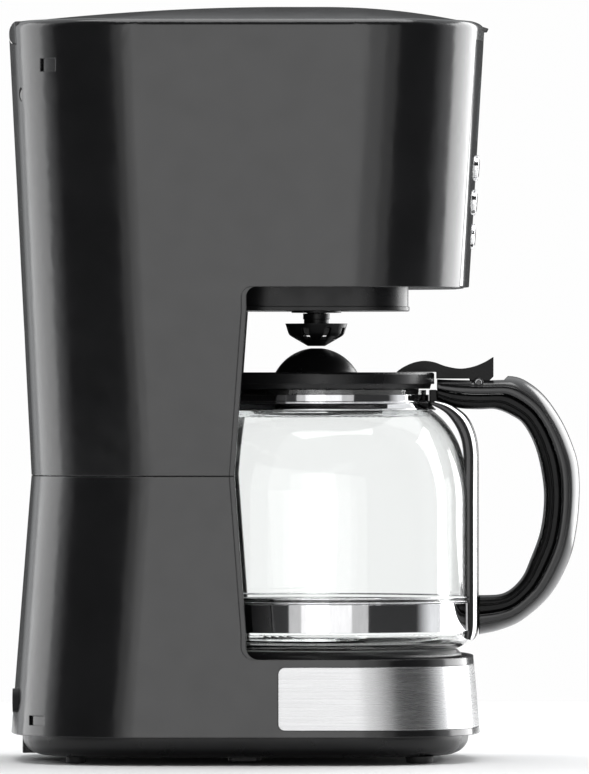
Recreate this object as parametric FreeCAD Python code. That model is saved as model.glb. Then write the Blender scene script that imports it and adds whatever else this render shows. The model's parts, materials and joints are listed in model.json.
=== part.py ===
import FreeCAD, Part
import math
import os

# Drip coffee maker: an hourglass housing with a tank column at the rear, a brew head over a glass carafe,
# and a base with a warming plate. Millimetres, +Z up, the front and the carafe handle towards +X.
# The origin is the middle of the footprint, on the surface that the feet stand on.

# ---- driving dimensions: housing ----
WALL = 2.5                      # moulded wall thickness
BASE_Z = 12.4                   # lower edge of the lower housing
WAIST_Z = 132.0                 # seam between the two housings
TOP_Z = 342.0                   # rim around the top lid
BASE_PLAN = (-132.0, 86.4, 95.0)    # rear X, front X, half width at BASE_Z
WAIST_PLAN = (-122.6, 76.1, 86.0)
TOP_PLAN = (-133.3, 88.7, 95.0)
CORNER_R = 55.0                 # plan corners
FACE_R = 320.0                  # gentle bulge of the front and rear faces
SEAM = 0.4                      # open groove at the waist
RIM_FILLET = 3.5
RIM_INSET = 6.6                 # inner face of the rim
LEDGE_INSET = 12.0              # inner edge of the ledge that carries the lid
LEDGE_TOP = 338.3
LEDGE_BOTTOM = 335.7

# ---- driving dimensions: carafe bay ----
AXIS_X = 10.2                   # vertical axis of carafe, valve, basket and plate
HEAD_Z = 219.0                  # underside of the brew head
DECK_LIP_Z = 48.0               # rim of the base in front of the column
DECK_Z = 45.4                   # deck inside that rim
BAY_EDGE = ((-22.1, 208.0), (-27.6, 132.0), (-22.2, 60.0))  # front edge of the column's sides
BAY_TOP_R = 4.6
BAY_FOOT_R = 6.0
COLUMN_R = 76.5                 # concave column face about the carafe axis
FAR = 400.0                     # larger than the whole machine

# ---- driving dimensions: top lid ----
HINGE_X = -127.7
HINGE_Z = 336.7
BARREL_R = 5.2
BARREL_HALF = 51.6
KNUCKLE = (30.0, 36.0)          # span of each fixed hinge knuckle along Y
KNUCKLE_R = 5.0
PIN_R = 1.8
RUN = 0.05                      # radial running clearance on pins
LID_BOTTOM = 338.6
LID_INSET = (9.0, 7.0)          # inset of the lid's lower and upper edge
LID_RISE = 8.0                  # height of the dome above the rim
LID_PEAK_X = 10.0
TAB_HALF = 15.0
TAB_OUTLINE = [(76, 342.2), (83.5, 341.8), (90.3, 339.7, 0.4), (90.0, 338.9),
               (86.5, LID_BOTTOM), (76, LID_BOTTOM)]

# ---- driving dimensions: control panel ----
PANEL_HALF = 52.0
PANEL_BOTTOM = 219.6
PANEL_TOP = 333.0
BUTTON_ROWS = ((274.8, (-16.0, 16.0)), (258.9, (-16.0, 16.0)), (243.2, (0.0,)))
BUTTON_R = 4.4
BEZEL_R = (4.6, 5.9)
DISPLAY_Z = (287.0, 317.0)
DISPLAY_HALF = 29.0
BOARD_DEPTH = 12.0              # control board behind the panel's face

# ---- driving dimensions: base ----
# Screw posts from the tray up to the deck, in plan.
POSTS = ((64.0, 52.0), (64.0, -52.0), (-15.0, 68.0), (-15.0, -68.0))

# ---- driving dimensions: slope of the front face and trim band ----
PANEL_TILT = math.degrees(math.atan((TOP_PLAN[1] - WAIST_PLAN[1]) / (TOP_Z - WAIST_Z)))
BAND = {"rear": -7.4, "low": 15.7, "high": 44.4, "thick": 0.8}

# ---- driving dimensions: spreader and lid duct ----
SPREADER_R = 36.0
SPREADER_Z = (326.0, 345.0)
OUTLET = (-61.0, 52.0)          # plan position of the riser tube and its nozzle
DUCT_Z = (330.0, 337.0)

# ---- driving dimensions: water tank, hoses and heater ----
TANK = {"rear": -116.5, "front": -70.5, "half": 76.0, "floor": 60.0, "rim": 321.5, "wall": 2.0}
TANK_OUT = (-95.0, -30.0)       # plan position of the tank's outlet
RISER_R = 3.5
RISER_BORE = 2.4
HOSE_R = 5.5
HOSE_BORE = 3.6
HEATER_Z = 40.2
HEATER_HALF = 30.0              # half the width of the U of the water tube
ELEMENT_HALF = 18.5
HEATER_END_X = -22.0
PLATE_PROFILE = [(0, 45.8), (67.0, 45.8, 0.6), (67.8, 48.6, 1.2), (65.4, 51.1, 1.5), (0, 51.1)]
GASKET_PROFILE = [(61.2, 44.2), (62.4, 44.2), (62.4, DECK_Z + 0.02), (66.4, DECK_Z + 0.02),
                  (66.4, 45.78), (61.2, 45.78)]

# Hose routes from the tank to the heater, and from the heater to the riser.
INLET_ROUTE = [(*TANK_OUT, 46), (*TANK_OUT, 26), (-70, -30, 26), (-46, -30, 34),
               (-34, -30, HEATER_Z), (HEATER_END_X, -30, HEATER_Z)]
RISER_ROUTE = [(HEATER_END_X, 30, HEATER_Z), (-34, 30, HEATER_Z), (-46, 34, 33),
               (*OUTLET, 33), (*OUTLET, 66)]

# ---- driving dimensions: brew chamber, filter basket and drip valve ----
SKIRT_Z = 208.4                 # underside of the chamber's skirt
CHAMBER_TOP = 318.0
BASKET_FLOOR = 213.0
VALVE_TIP = 192.1
VALVE_RIM = 202.6
VALVE_NECK_Z = 207.3            # shoulder on the valve's stem that the spring stands on
SPRING_R = 4.3
SPRING_WIRE_R = 0.45
SPRING_COILS = 5
VALVE_DROP = 3.0                # travel of the drip valve from open to closed

# ---- driving dimensions: control panel's buttons, display and electronics ----
BUTTON_PROUD = 1.7
BOARD_Z = 277.0
BOARD_HALF = (42.0, 40.0)
BOARD_SCREWS = [(y, dz) for y in (-38.0, 38.0) for dz in (-36.0, 36.0)]

# ---- driving dimensions: tray, feet, gland and power board ----
TRAY_INSET = 5.2
TRAY_Z = 3.0                    # underside of the tray
FOOT_Y = 66.0
FRONT_FOOT_X = 57.5
REAR_FOOT_X = -100.6

# Wire loom from the power board up the column to the control board.
LOOM_ROUTE = [(-74, 44, 25), (-62, 56, 27), (-52, 66, 38), (-52, 68, 80), (-52, 68, 285),
              (-42, 71, 308), (0, 74, 312), (40, 66, 310), (54, 46, 300), (58, 26, 292), (66.2, 18, 290)]

# ---- driving dimensions: carafe ----
# Turned profiles of the glass: (radius, Z, corner radius). The handle strap keeps clear of GLASS_CLEAR.
GLASS_OUTER = [(0, 52.6), (56, 52.6), (58.5, 51.4), (71.5, 51.4, 7.2), (71.5, 131.5, 70), (63.3, 155.9, 36),
               (51.2, 164.0, 3.5), (51.2, 171.6), (0, 171.6)]
GLASS_INNER = [(0, 54.8), (56.5, 54.8), (59, 53.6), (69.5, 53.6, 5.2), (69.5, 131.2, 68), (61.6, 154.6, 34),
               (49.2, 162.9, 5.5), (49.2, 172.6), (0, 172.6)]
GLASS_CLEAR = [(0, 50.0), (71.9, 50.0), (71.9, 131.6, 70), (63.6, 156.2, 36), (51.6, 164.2, 3.5),
               (51.6, 173), (0, 173)]
LOWER_BAND = {"r": (71.8, 72.6), "z": (59.7, 72.7)}
NECK_BAND = [(51.55, 169.4), (52.4, 169.4), (52.4, 166.2), (55.4, 162.9), (54.7, 162.5), (51.55, 166.0)]
PIVOT = (85.7, 175.1)           # X and Z of the carafe lid's pivot
PIVOT_R = 1.7
HANDLE_HALF = 13.0
LEVER_HALF = 8.0
LEVER_OUTLINE = [(47.7, 179.9), (60.8, 185.1, 8), (77.0, 181.5, 12), (92.7, 186.7, 0.8), (92.7, 177.9, 1),
                 (89.4, 174.6, 2), (87.6, 171.6, 1.5), (83.8, 171.6, 1.5), (81.6, 176.9, 2),
                 (66.2, 176.9), (66.2, 179.9)]
# Side view curves of the handle, from the lid end to the foot end.
HANDLE_OUTER = [(102.5, 177.9), (110.3, 174.4), (117.5, 167.9), (124.6, 157.4), (129.8, 145.7),
                (132.4, 135.9), (132.95, 122.8), (128.1, 92.3), (119.5, 76.3), (106.7, 64.6), (96.0, 59.8),
                (86.1, 57.6)]
HANDLE_INNER = [(94.0, 162.6), (101.5, 159.6), (107.0, 155.4), (112.2, 145.7), (115.5, 132.6),
                (116.5, 119.6), (110.0, 92.3), (106.7, 84.9), (101.8, 79.3), (96.0, 76.3), (86.1, 75.8)]
STRAP_OUTLINE = [(62.9, 171.7), (66.3, 171.7), (66.3, 166.9), (77.4, 162.3), (83.7, 151.0, 20),
                 (85.9, 139.5, 20), (85.9, 58.5, 2), (84.0, 55.0), (60.0, 55.0), (60.0, 171.7)]
HANDLE_ROOT = {"x": 66.6, "top": 177.9, "low": 167.2, "elbow": (77.7, 162.6)}
INSERT_SHARE = 0.46             # depth of the inner insert as a share of the handle
CARAFE_LID_PROFILE = [(14, 177.2), (45.2, 177.2), (45.2, 166.0), (47.4, 166.0), (47.8, 172.2), (53.0, 172.2),
                      (53.6, 174.4), (55.0, 174.4), (55.0, 179.8, 1.0), (14, 179.8)]
DOME_BASE = 179.8
DOME_TOP = 191.2
DOME_R = 21.7

NODES = {}


# ---- helpers ----
def vec(x, y, z):
    return FreeCAD.Vector(x, y, z)


def in_side(a, b):
    """Side view plane: a is X, b is Z."""
    return vec(a, 0, b)


def in_plan(a, b):
    """Plan view plane: a is X, b is Y."""
    return vec(a, b, 0)


def rounded_wire(points, plane):
    """Closed wire through (a, b) or (a, b, radius) corners, each radius a tangent arc."""
    flat = [(p[0], p[1], p[2] if len(p) > 2 else 0.0) for p in points]
    count = len(flat)
    stretches = []
    for i, (a, b, radius) in enumerate(flat):
        before = flat[i - 1]
        after = flat[(i + 1) % count]
        corner = vec(a, b, 0)
        if radius <= 0:
            stretches.append((corner, None, corner))
            continue
        to_before = (vec(before[0], before[1], 0) - corner).normalize()
        to_after = (vec(after[0], after[1], 0) - corner).normalize()
        half = math.acos(max(-1.0, min(1.0, to_before.dot(to_after)))) / 2
        reach = radius / math.tan(half)
        inward = (to_before + to_after).normalize()
        centre = corner + inward * (radius / math.sin(half))
        stretches.append((corner + to_before * reach, centre - inward * radius, corner + to_after * reach))
    edges = []
    for i, (start, middle, end) in enumerate(stretches):
        if middle is not None:
            edges.append(Part.Arc(plane(start.x, start.y), plane(middle.x, middle.y),
                                  plane(end.x, end.y)).toShape())
        following = stretches[(i + 1) % count][0]
        if (following - end).Length > 1e-6:
            edges.append(Part.LineSegment(plane(end.x, end.y), plane(following.x, following.y)).toShape())
    return Part.Wire(edges)


def side_prism(points, y0, y1):
    """Prism of a side view outline (X, Z) between two Y planes."""
    face = Part.Face(rounded_wire(points, in_side))
    face.translate(vec(0, y0, 0))
    return face.extrude(vec(0, y1 - y0, 0))


def plan_prism(points, z0, z1):
    """Prism of a plan outline (X, Y) between two heights."""
    face = Part.Face(rounded_wire(points, in_plan))
    face.translate(vec(0, 0, z0))
    return face.extrude(vec(0, 0, z1 - z0))


def rounded_box(x0, x1, y0, y1, z0, z1, radius=0.0):
    return plan_prism([(x0, y0, radius), (x1, y0, radius), (x1, y1, radius), (x0, y1, radius)], z0, z1)


def cylinder(radius, z0, z1, x=AXIS_X, y=0.0):
    return Part.makeCylinder(radius, z1 - z0, vec(x, y, z0))


def tube(inner, outer, z0, z1, x=AXIS_X, y=0.0):
    return cylinder(outer, z0, z1, x, y).cut(cylinder(inner, z0 - 1, z1 + 1, x, y))


def cross_rod(radius, x, z, y0, y1):
    """Rod along Y."""
    return Part.makeCylinder(radius, y1 - y0, vec(x, y0, z), vec(0, 1, 0))


def turned(points, x=AXIS_X, y=0.0):
    """Solid of revolution of (radius, Z) corners about a vertical axis."""
    face = Part.Face(rounded_wire(points, in_side))
    solid = face.revolve(vec(0, 0, 0), vec(0, 0, 1), 360)
    solid.translate(vec(x, y, 0))
    return solid


def both_sides(shape):
    """The shape and its mirror image across the middle plane."""
    return [shape, shape.mirror(vec(0, 0, 0), vec(0, 1, 0))]


def fuse_all(shapes):
    result = shapes[0]
    for shape in shapes[1:]:
        result = result.fuse(shape)
    return result.removeSplitter()


def routed_tube(points, radius, bore=0.0):
    """Tube along straight runs joined by tangent arcs, each as large as its two runs allow."""
    at = [vec(*p) for p in points]
    edges = []
    start = at[0]
    for i in range(1, len(at) - 1):
        to_before = (at[i - 1] - at[i]).normalize()
        to_after = (at[i + 1] - at[i]).normalize()
        shorter = min((at[i - 1] - at[i]).Length, (at[i + 1] - at[i]).Length)
        reach = 0.45 * shorter
        half = math.acos(max(-1.0, min(1.0, to_before.dot(to_after)))) / 2
        bend = reach * math.tan(half)
        inward = (to_before + to_after).normalize()
        centre = at[i] + inward * (bend / math.sin(half))
        enter = at[i] + to_before * reach
        leave = at[i] + to_after * reach
        edges.append(Part.LineSegment(start, enter).toShape())
        edges.append(Part.Arc(enter, centre - inward * bend, leave).toShape())
        start = leave
    edges.append(Part.LineSegment(start, at[-1]).toShape())
    path = Part.Wire(edges)
    heading = (at[1] - at[0]).normalize()
    section = Part.Wire(Part.makeCircle(radius, at[0], heading))
    solid = path.makePipeShell([section], True, False)
    if bore > 0:
        hole = Part.Wire(Part.makeCircle(bore, at[0], heading))
        solid = solid.cut(path.makePipeShell([hole], True, False))
    return solid


def keep(name, shape):
    """Collects a node; a list of shapes becomes one node of separate solids."""
    if isinstance(shape, (list, tuple)):
        shape = Part.makeCompound([solid for part in shape for solid in part.Solids])
    elif len(shape.Solids) == 1:
        shape = shape.Solids[0]
    NODES[name] = shape


# ---- housing envelope ----
def between(low, high, low_z, high_z, z):
    share = (z - low_z) / (high_z - low_z)
    return [a + (b - a) * share for a, b in zip(low, high)]


def plan_at(z, upper):
    """Rear X, front X and half width of the housing at a height."""
    if upper:
        return between(WAIST_PLAN, TOP_PLAN, WAIST_Z, TOP_Z, z)
    return between(BASE_PLAN, WAIST_PLAN, BASE_Z, WAIST_Z, z)


def bulged_wire(rear, front, half, corner, face, z):
    """Plan outline with straight sides, round corners and gently bulged front and rear."""
    lean = math.sqrt((face - corner) ** 2 - (half - corner) ** 2)
    front_face_x = front - face
    rear_face_x = rear + face
    corner_y = half - corner
    front_corner_x = front_face_x + lean
    rear_corner_x = rear_face_x - lean
    touch = face / (face - corner)
    front_touch = (front_face_x + lean * touch, corner_y * touch)
    rear_touch = (rear_face_x - lean * touch, corner_y * touch)
    turn = (math.pi / 2 + math.atan2(corner_y, lean)) / 2
    reach_x = corner * math.cos(turn)
    reach_y = corner * math.sin(turn)

    def arc(a, b, c):
        return Part.Arc(vec(a[0], a[1], z), vec(b[0], b[1], z), vec(c[0], c[1], z)).toShape()

    def line(a, b):
        return Part.LineSegment(vec(a[0], a[1], z), vec(b[0], b[1], z)).toShape()

    front_middle = (front_corner_x + reach_x, corner_y + reach_y)
    rear_middle = (rear_corner_x - reach_x, corner_y + reach_y)

    def mirrored(p):
        return (p[0], -p[1])

    return Part.Wire([
        line((rear_corner_x, -half), (front_corner_x, -half)),
        arc((front_corner_x, -half), mirrored(front_middle), mirrored(front_touch)),
        arc(mirrored(front_touch), (front, 0), front_touch),
        arc(front_touch, front_middle, (front_corner_x, half)),
        line((front_corner_x, half), (rear_corner_x, half)),
        arc((rear_corner_x, half), rear_middle, rear_touch),
        arc(rear_touch, (rear, 0), mirrored(rear_touch)),
        arc(mirrored(rear_touch), mirrored(rear_middle), (rear_corner_x, -half)),
    ])


def envelope(z0, z1, inset, upper):
    """Solid inside the housing's outer surface, moved inwards by an inset."""
    sections = []
    for z in (z0, z1):
        rear, front, half = plan_at(z, upper)
        sections.append(bulged_wire(rear + inset, front - inset, half - inset,
                                    CORNER_R - inset, FACE_R - inset, z))
    return Part.makeLoft(sections, True, True)


def skin(z0, z1, depth, upper, inset=0.0):
    """Outer layer of the housing, from an inset to a depth under it."""
    return envelope(z0, z1, inset, upper).cut(envelope(z0 - 1, z1 + 1, inset + depth, upper))


def bay(shift=0.0, rounded=True):
    """Carafe bay through the whole width; a shift moves its rear edge towards the back."""
    (top_x, top_z), (mid_x, mid_z), (low_x, low_z) = BAY_EDGE
    top_r, foot_r = (BAY_TOP_R, BAY_FOOT_R) if rounded else (0.0, 0.0)
    outline = [(FAR, DECK_LIP_Z), (FAR, HEAD_Z), (top_x - shift, HEAD_Z, top_r), (top_x - shift, top_z),
               (mid_x - shift, mid_z), (low_x - shift, low_z), (low_x - shift, DECK_LIP_Z, foot_r)]
    return side_prism(outline, -FAR, FAR)


# ---- housings ----
def hinge_zone():
    """Space around the lid's hinge barrel, open upwards."""
    pocket = cross_rod(BARREL_R + 0.4, HINGE_X, HINGE_Z, -BARREL_HALF - 0.4, BARREL_HALF + 0.4)
    above = rounded_box(HINGE_X - 20, HINGE_X + BARREL_R + 0.4, -BARREL_HALF - 0.4, BARREL_HALF + 0.4,
                        HINGE_Z, TOP_Z + 5)
    return pocket.fuse(above)


def knuckles(clearance=0.0):
    """The two fixed hinge knuckles, standing on the rear wall of the rim."""
    shapes = []
    for side in (-1, 1):
        y0, y1 = sorted((side * KNUCKLE[0], side * KNUCKLE[1]))
        rod = cross_rod(KNUCKLE_R + clearance, HINGE_X, HINGE_Z, y0 - clearance, y1 + clearance)
        web = rounded_box(HINGE_X - 3, HINGE_X + 3, y0 - clearance, y1 + clearance, HINGE_Z - 8, HINGE_Z)
        shapes.append(rod.fuse(web).common(envelope(HINGE_Z - 10, TOP_Z, 0, True)))
    return shapes


def side_marks(upper, x0, x1, z0, z1):
    """Shallow rectangular moulding marks on both flanks."""
    layer = skin(z0, z1, 1.0, upper)
    return [layer.common(rounded_box(x0, x1, y0, y1, z0, z1))
            for y0, y1 in ((-FAR, -30), (30, FAR))]


def rear_corner_holes(radius, depth):
    """Round recesses in the upper rear corners."""
    z = 308.0
    angle = math.radians(27)
    outward = vec(-math.cos(angle), -math.sin(angle), 0)
    start = vec(-127.0, -55.5, z) + outward * 8
    hole = Part.makeCylinder(radius, depth + 8, start, outward * -1)
    return both_sides(hole)


def button_places():
    return [(y, z) for z, row in BUTTON_ROWS for y in row]


def on_panel(shape, y, z):
    """Puts a shape made about the X axis, face at X = 0, onto the sloping front face."""
    face_x = plan_at(z, True)[1] - y * y / (2 * FACE_R)
    placed = shape.copy()
    placed.Placement = FreeCAD.Placement(vec(face_x, y, z), FreeCAD.Rotation(vec(0, 1, 0), PANEL_TILT))
    return placed


def along_x(radius, x0, x1):
    return Part.makeCylinder(radius, x1 - x0, vec(x0, 0, 0), vec(1, 0, 0))


def block_x(x0, x1, half_y, half_z):
    return Part.makeBox(x1 - x0, 2 * half_y, 2 * half_z, vec(x0, -half_y, -half_z))


def display_opening(grow=0.0):
    """Rounded rectangle through the control panel for the display window."""
    middle = (DISPLAY_Z[0] + DISPLAY_Z[1]) / 2
    half_z = (DISPLAY_Z[1] - DISPLAY_Z[0]) / 2 + grow
    half_y = DISPLAY_HALF + grow
    corners = [(-half_z, -half_y, 3), (half_z, -half_y, 3), (half_z, half_y, 3), (-half_z, half_y, 3)]
    face = Part.Face(rounded_wire(corners, lambda a, b: vec(-20, b, a)))
    return on_panel(face.extrude(vec(30, 0, 0)), 0, middle)


def brew_opening(grow=0.0):
    """Plan of the brew chamber's skirt where it passes the floor of the head."""
    return rounded_box(-36 - grow, 52.9 + grow, -46 - grow, 46 + grow, 200, 230, 24)


def upper_housing():
    low = WAIST_Z + SEAM / 2
    outer = envelope(low, TOP_Z, 0, True)
    rim_edges = [e for e in outer.Edges if min(v.Z for v in e.Vertexes) > TOP_Z - 0.01]
    outer = outer.makeFillet(RIM_FILLET, rim_edges)
    hollow = envelope(low - 1, LEDGE_BOTTOM, WALL, True)
    head_floor = rounded_box(BAY_EDGE[0][0] - WALL, FAR, -FAR, FAR, low - 1, HEAD_Z + WALL)
    hinge_block = rounded_box(-FAR, HINGE_X + 9, -BARREL_HALF - 5, BARREL_HALF + 5, HINGE_Z - 9, TOP_Z)
    hollow = hollow.cut(head_floor).cut(hinge_block)
    under_head = envelope(low - 1, HEAD_Z, WALL, True).common(bay(WALL, False))
    shell = outer.cut(hollow).cut(under_head)
    shell = shell.cut(envelope(LEDGE_BOTTOM - 1, LEDGE_TOP, LEDGE_INSET, True).cut(hinge_block))
    shell = shell.cut(envelope(LEDGE_TOP, TOP_Z + 1, RIM_INSET, True))
    shell = shell.cut(bay())
    shell = shell.cut(skin(low, HEAD_Z + 0.01, 0.6, True).common(bay(2.3)))
    window = rounded_box(20, FAR, -PANEL_HALF, PANEL_HALF, HEAD_Z - 1, PANEL_TOP + 0.2)
    shell = shell.cut(skin(HEAD_Z - 1, PANEL_TOP + 0.2, WALL + 0.01, True).common(window))
    shell = shell.cut(brew_opening(0.2))
    shell = shell.cut(hinge_zone())
    for knuckle in knuckles():
        shell = shell.fuse(knuckle)
    for mark in side_marks(True, -116.7, -109.8, 318, 324):
        shell = shell.cut(mark)
    for hole in rear_corner_holes(3.25, 1.8):
        shell = shell.cut(hole)
    tab_slot = side_prism([(70, LEDGE_TOP), (100, LEDGE_TOP), (100, TOP_Z + 2), (70, TOP_Z + 2)],
                          -TAB_HALF - 0.5, TAB_HALF + 0.5)
    shell = shell.cut(tab_slot)
    shell = shell.cut(hinge_pin_rods(0.0))
    return shell


def hinge_pin_rods(clearance):
    """Both stub pins of the top lid, through the fixed knuckles."""
    rods = [cross_rod(PIN_R + clearance, HINGE_X, HINGE_Z, y0, y1)
            for y0, y1 in ((-KNUCKLE[1] - 7, -KNUCKLE[0] + 7), (KNUCKLE[0] - 7, KNUCKLE[1] + 7))]
    return Part.makeCompound(rods)


def band_region(grow=0.0):
    """Side view outline of the trim band round the front of the base."""
    rear = BAND["rear"] - grow
    low = BAND["low"] - grow
    high = BAND["high"] + grow
    return side_prism([(FAR, low), (FAR, high), (rear, high, 3), (rear, low, 3)], -FAR, FAR)


def cord_gland_rod(radius):
    """Bush in the rear wall, low on one side, where the mains lead enters."""
    return Part.makeCylinder(radius, 9, vec(-130.5, -38, 28), vec(1, 0, 0))


def lower_housing():
    high = WAIST_Z - SEAM / 2
    outer = envelope(BASE_Z, high, 0, False)
    hollow = envelope(BASE_Z - 1, high + 1, WALL, False)
    deck = rounded_box(BAY_EDGE[2][0] - WALL, FAR, -FAR, FAR, DECK_Z - WALL, DECK_Z)
    deck = deck.fuse(cylinder(COLUMN_R - 0.2, DECK_Z - WALL, DECK_Z))
    shell = outer.cut(hollow.cut(deck))
    shell = shell.cut(bay())
    shell = shell.cut(skin(DECK_LIP_Z, high, 0.6, False).common(bay(2.3)))
    shell = shell.cut(cylinder(62.5, DECK_Z - WALL - 1, DECK_Z + 1))
    shell = shell.cut(cord_gland_rod(5.6))
    for x, y in POSTS:
        shell = shell.cut(cylinder(1.75, DECK_Z - WALL - 1, DECK_Z + 1, x, y))
    recess = skin(BAND["low"] - 1, BAND["high"] + 1, BAND["thick"] + 0.05, False).common(band_region(0.1))
    shell = shell.cut(recess)
    for mark in side_marks(False, -122.0, -115.0, 17.3, 21.7):
        shell = shell.cut(mark)
    return shell.removeSplitter()


def steel_trim_band():
    layer = skin(BAND["low"], BAND["high"], BAND["thick"] + 0.1, False, -0.1)
    return layer.common(band_region())


def column_panel():
    """Concave front wall of the column, from the deck to the underside of the head."""
    inside_low = envelope(DECK_Z, WAIST_Z, WALL + 1.6, False)
    inside_high = envelope(WAIST_Z, HEAD_Z, WALL + 0.2, True)
    inside = inside_low.fuse(inside_high)
    slab = bay(WALL, False).cut(bay(0.0, False))
    (top_x, top_z), (mid_x, mid_z), (low_x, low_z) = BAY_EDGE
    column = inside.cut(side_prism([(FAR, 0), (FAR, HEAD_Z + 1), (top_x, HEAD_Z + 1), (top_x, top_z),
                                    (mid_x, mid_z), (low_x, low_z), (low_x, 0)], -FAR, FAR))
    wall = slab.fuse(cylinder(COLUMN_R + WALL, DECK_Z, HEAD_Z))
    panel = column.common(wall)
    return panel.cut(cylinder(COLUMN_R, DECK_Z - 1, HEAD_Z + 1))


def control_panel():
    layer = skin(PANEL_BOTTOM, PANEL_TOP, WALL, True)
    panel = layer.common(rounded_box(20, FAR, -PANEL_HALF + 0.2, PANEL_HALF - 0.2, PANEL_BOTTOM, PANEL_TOP))
    panel = panel.cut(display_opening(0.1))
    for y, z in button_places():
        panel = panel.cut(on_panel(along_x(BEZEL_R[0] + 0.75, -10, 10), y, z))
        panel = panel.cut(on_panel(along_x(BEZEL_R[1] + 0.05, -0.4, 10), y, z))
    return panel


keep("upper_housing", upper_housing())
keep("lower_housing", lower_housing())
keep("steel_trim_band", steel_trim_band())
keep("column_panel", column_panel())
keep("control_panel", control_panel())


# ---- top lid, with the spreader and the water duct under it ----
def lid_dome(inset, drop, low):
    """Asymmetric dome over the rim: plan sections shrink towards the peak as the height grows."""
    rear, front, half = plan_at(TOP_Z, True)
    sections = []
    for share in (1.0, 0.9, 0.78, 0.62, 0.42, 0.2):
        z = TOP_Z + LID_RISE * (1 - share * share) - drop
        sections.append(bulged_wire(LID_PEAK_X - (LID_PEAK_X - rear - inset) * share,
                                    LID_PEAK_X + (front - inset - LID_PEAK_X) * share,
                                    (half - inset) * share, (CORNER_R - inset) * share,
                                    (FACE_R - inset) * share, z))
    dome = Part.makeLoft(sections, True, False)
    foot = TOP_Z - drop
    lower_inset = inset + (LID_INSET[0] - LID_INSET[1])
    skirt = Part.makeLoft([
        bulged_wire(rear + lower_inset, front - lower_inset, half - lower_inset,
                    CORNER_R - lower_inset, FACE_R - lower_inset, low),
        bulged_wire(rear + inset, front - inset, half - inset, CORNER_R - inset, FACE_R - inset, foot)],
        True, True)
    return dome.fuse(skirt)


def top_lid():
    lid = lid_dome(LID_INSET[1], 0, LID_BOTTOM).cut(lid_dome(LID_INSET[1] + 2.2, 2.4, LID_BOTTOM - 1))
    tab = side_prism(TAB_OUTLINE, -TAB_HALF, TAB_HALF)
    barrel = cross_rod(BARREL_R, HINGE_X, HINGE_Z, -BARREL_HALF, BARREL_HALF)
    barrel = barrel.common(envelope(HINGE_Z - 10, TOP_Z + 1, 0.05, True))
    leaf = rounded_box(HINGE_X, HINGE_X + 9, -BARREL_HALF, BARREL_HALF, LID_BOTTOM, TOP_Z - 0.1)
    lid = lid.fuse(tab).fuse(barrel).fuse(leaf)
    for side in (-1, 1):
        y0, y1 = sorted((side * (KNUCKLE[0] - 0.4), side * (KNUCKLE[1] + 0.4)))
        notch = cross_rod(KNUCKLE_R + 0.4, HINGE_X, HINGE_Z, y0, y1)
        under = rounded_box(HINGE_X - 6, HINGE_X + KNUCKLE_R + 0.4, y0, y1, HINGE_Z - 6, TOP_Z + 4)
        lid = lid.cut(notch.fuse(under))
    lid = lid.cut(hinge_pin_rods(RUN))
    return lid


def spreader():
    """Shower head: a shallow drum with rings of small holes in its floor."""
    low, high = SPREADER_Z
    drum = turned([(0, low), (SPREADER_R, low, 2), (SPREADER_R, high), (SPREADER_R - 1.8, high),
                   (SPREADER_R - 1.8, low + 1.8, 1), (0, low + 1.8)])
    holes = [cylinder(1.2, low - 1, low + 3, AXIS_X + ring * math.cos(math.radians(i * 360 / count)),
                      ring * math.sin(math.radians(i * 360 / count)))
             for ring, count in ((10.0, 6), (20.0, 10), (29.0, 14)) for i in range(count)]
    return drum.cut(Part.makeCompound(holes)).cut(lid_water_path(7.2))


def lid_water_path(half_width, shrink=0.0):
    """Duct block from the outlet nozzle to the spreader, slanting across the lid."""
    run_x = AXIS_X - OUTLET[0]
    run_y = -OUTLET[1]
    length = math.hypot(run_x, run_y)
    block = Part.makeBox(length - SPREADER_R + 10 - shrink, 2 * (half_width - shrink),
                         DUCT_Z[1] - DUCT_Z[0] - 2 * shrink,
                         vec(-8 + shrink, -half_width + shrink, DUCT_Z[0] + shrink))
    block.rotate(vec(0, 0, 0), vec(0, 0, 1), math.degrees(math.atan2(run_y, run_x)))
    block.translate(vec(OUTLET[0], OUTLET[1], 0))
    return block


def lid_water_duct():
    outer = lid_water_path(7.0)
    socket = cylinder(6.5, DUCT_Z[0] - 1.2, DUCT_Z[0] + 0.5, *OUTLET)
    duct = outer.fuse(socket).cut(lid_water_path(7.0, 1.2))
    return duct.cut(cylinder(4.2, DUCT_Z[0] - 2, DUCT_Z[0] + 2, *OUTLET))


keep("top_lid", top_lid())
keep("spreader", spreader())
keep("lid_water_duct", lid_water_duct())
keep("lid_hinge_pins", [hinge_pin_rods(0.0)])


# ---- water tank, riser and top deck ----


def water_tank():
    rear, front, half = TANK["rear"], TANK["front"], TANK["half"]
    wall = TANK["wall"]
    outer = plan_prism([(rear, -half, 40), (front, -half, 3), (front, half, 3), (rear, half, 40)],
                       TANK["floor"], TANK["rim"])
    inner = plan_prism([(rear + wall, -half + wall, 38), (front - wall, -half + wall, 1.5),
                        (front - wall, half - wall, 1.5), (rear + wall, half - wall, 38)],
                       TANK["floor"] + wall, TANK["rim"] + 1)
    tank = outer.cut(inner)
    return tank.cut(cylinder(3.7, TANK["floor"] - 1, TANK["floor"] + 5, *TANK_OUT))


def top_deck():
    deck = envelope(322, 324.5, WALL + 0.3, True)
    deck = deck.cut(rounded_box(TANK["rear"] + 2, TANK["front"] - 2, -70, 70, 320, 326, 20))
    deck = deck.cut(cylinder(55.5, 320, 326))
    return deck.cut(cylinder(7, 320, 326, *OUTLET))


def outlet_nozzle():
    """Rubber nozzle on top of the riser, pointing up at the lid's duct."""
    x, y = OUTLET
    return turned([(RISER_R + 0.1, 312), (6.0, 312, 1), (6.0, 322), (5.0, 328.4), (RISER_R, 328.4),
                   (RISER_R, 320.1), (RISER_R + 0.1, 320.1)], x, y)


keep("water_tank", water_tank())
keep("top_deck", top_deck())
keep("riser_tube", tube(RISER_BORE, RISER_R, 58, 320, *OUTLET))
keep("outlet_nozzle", outlet_nozzle())


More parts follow.
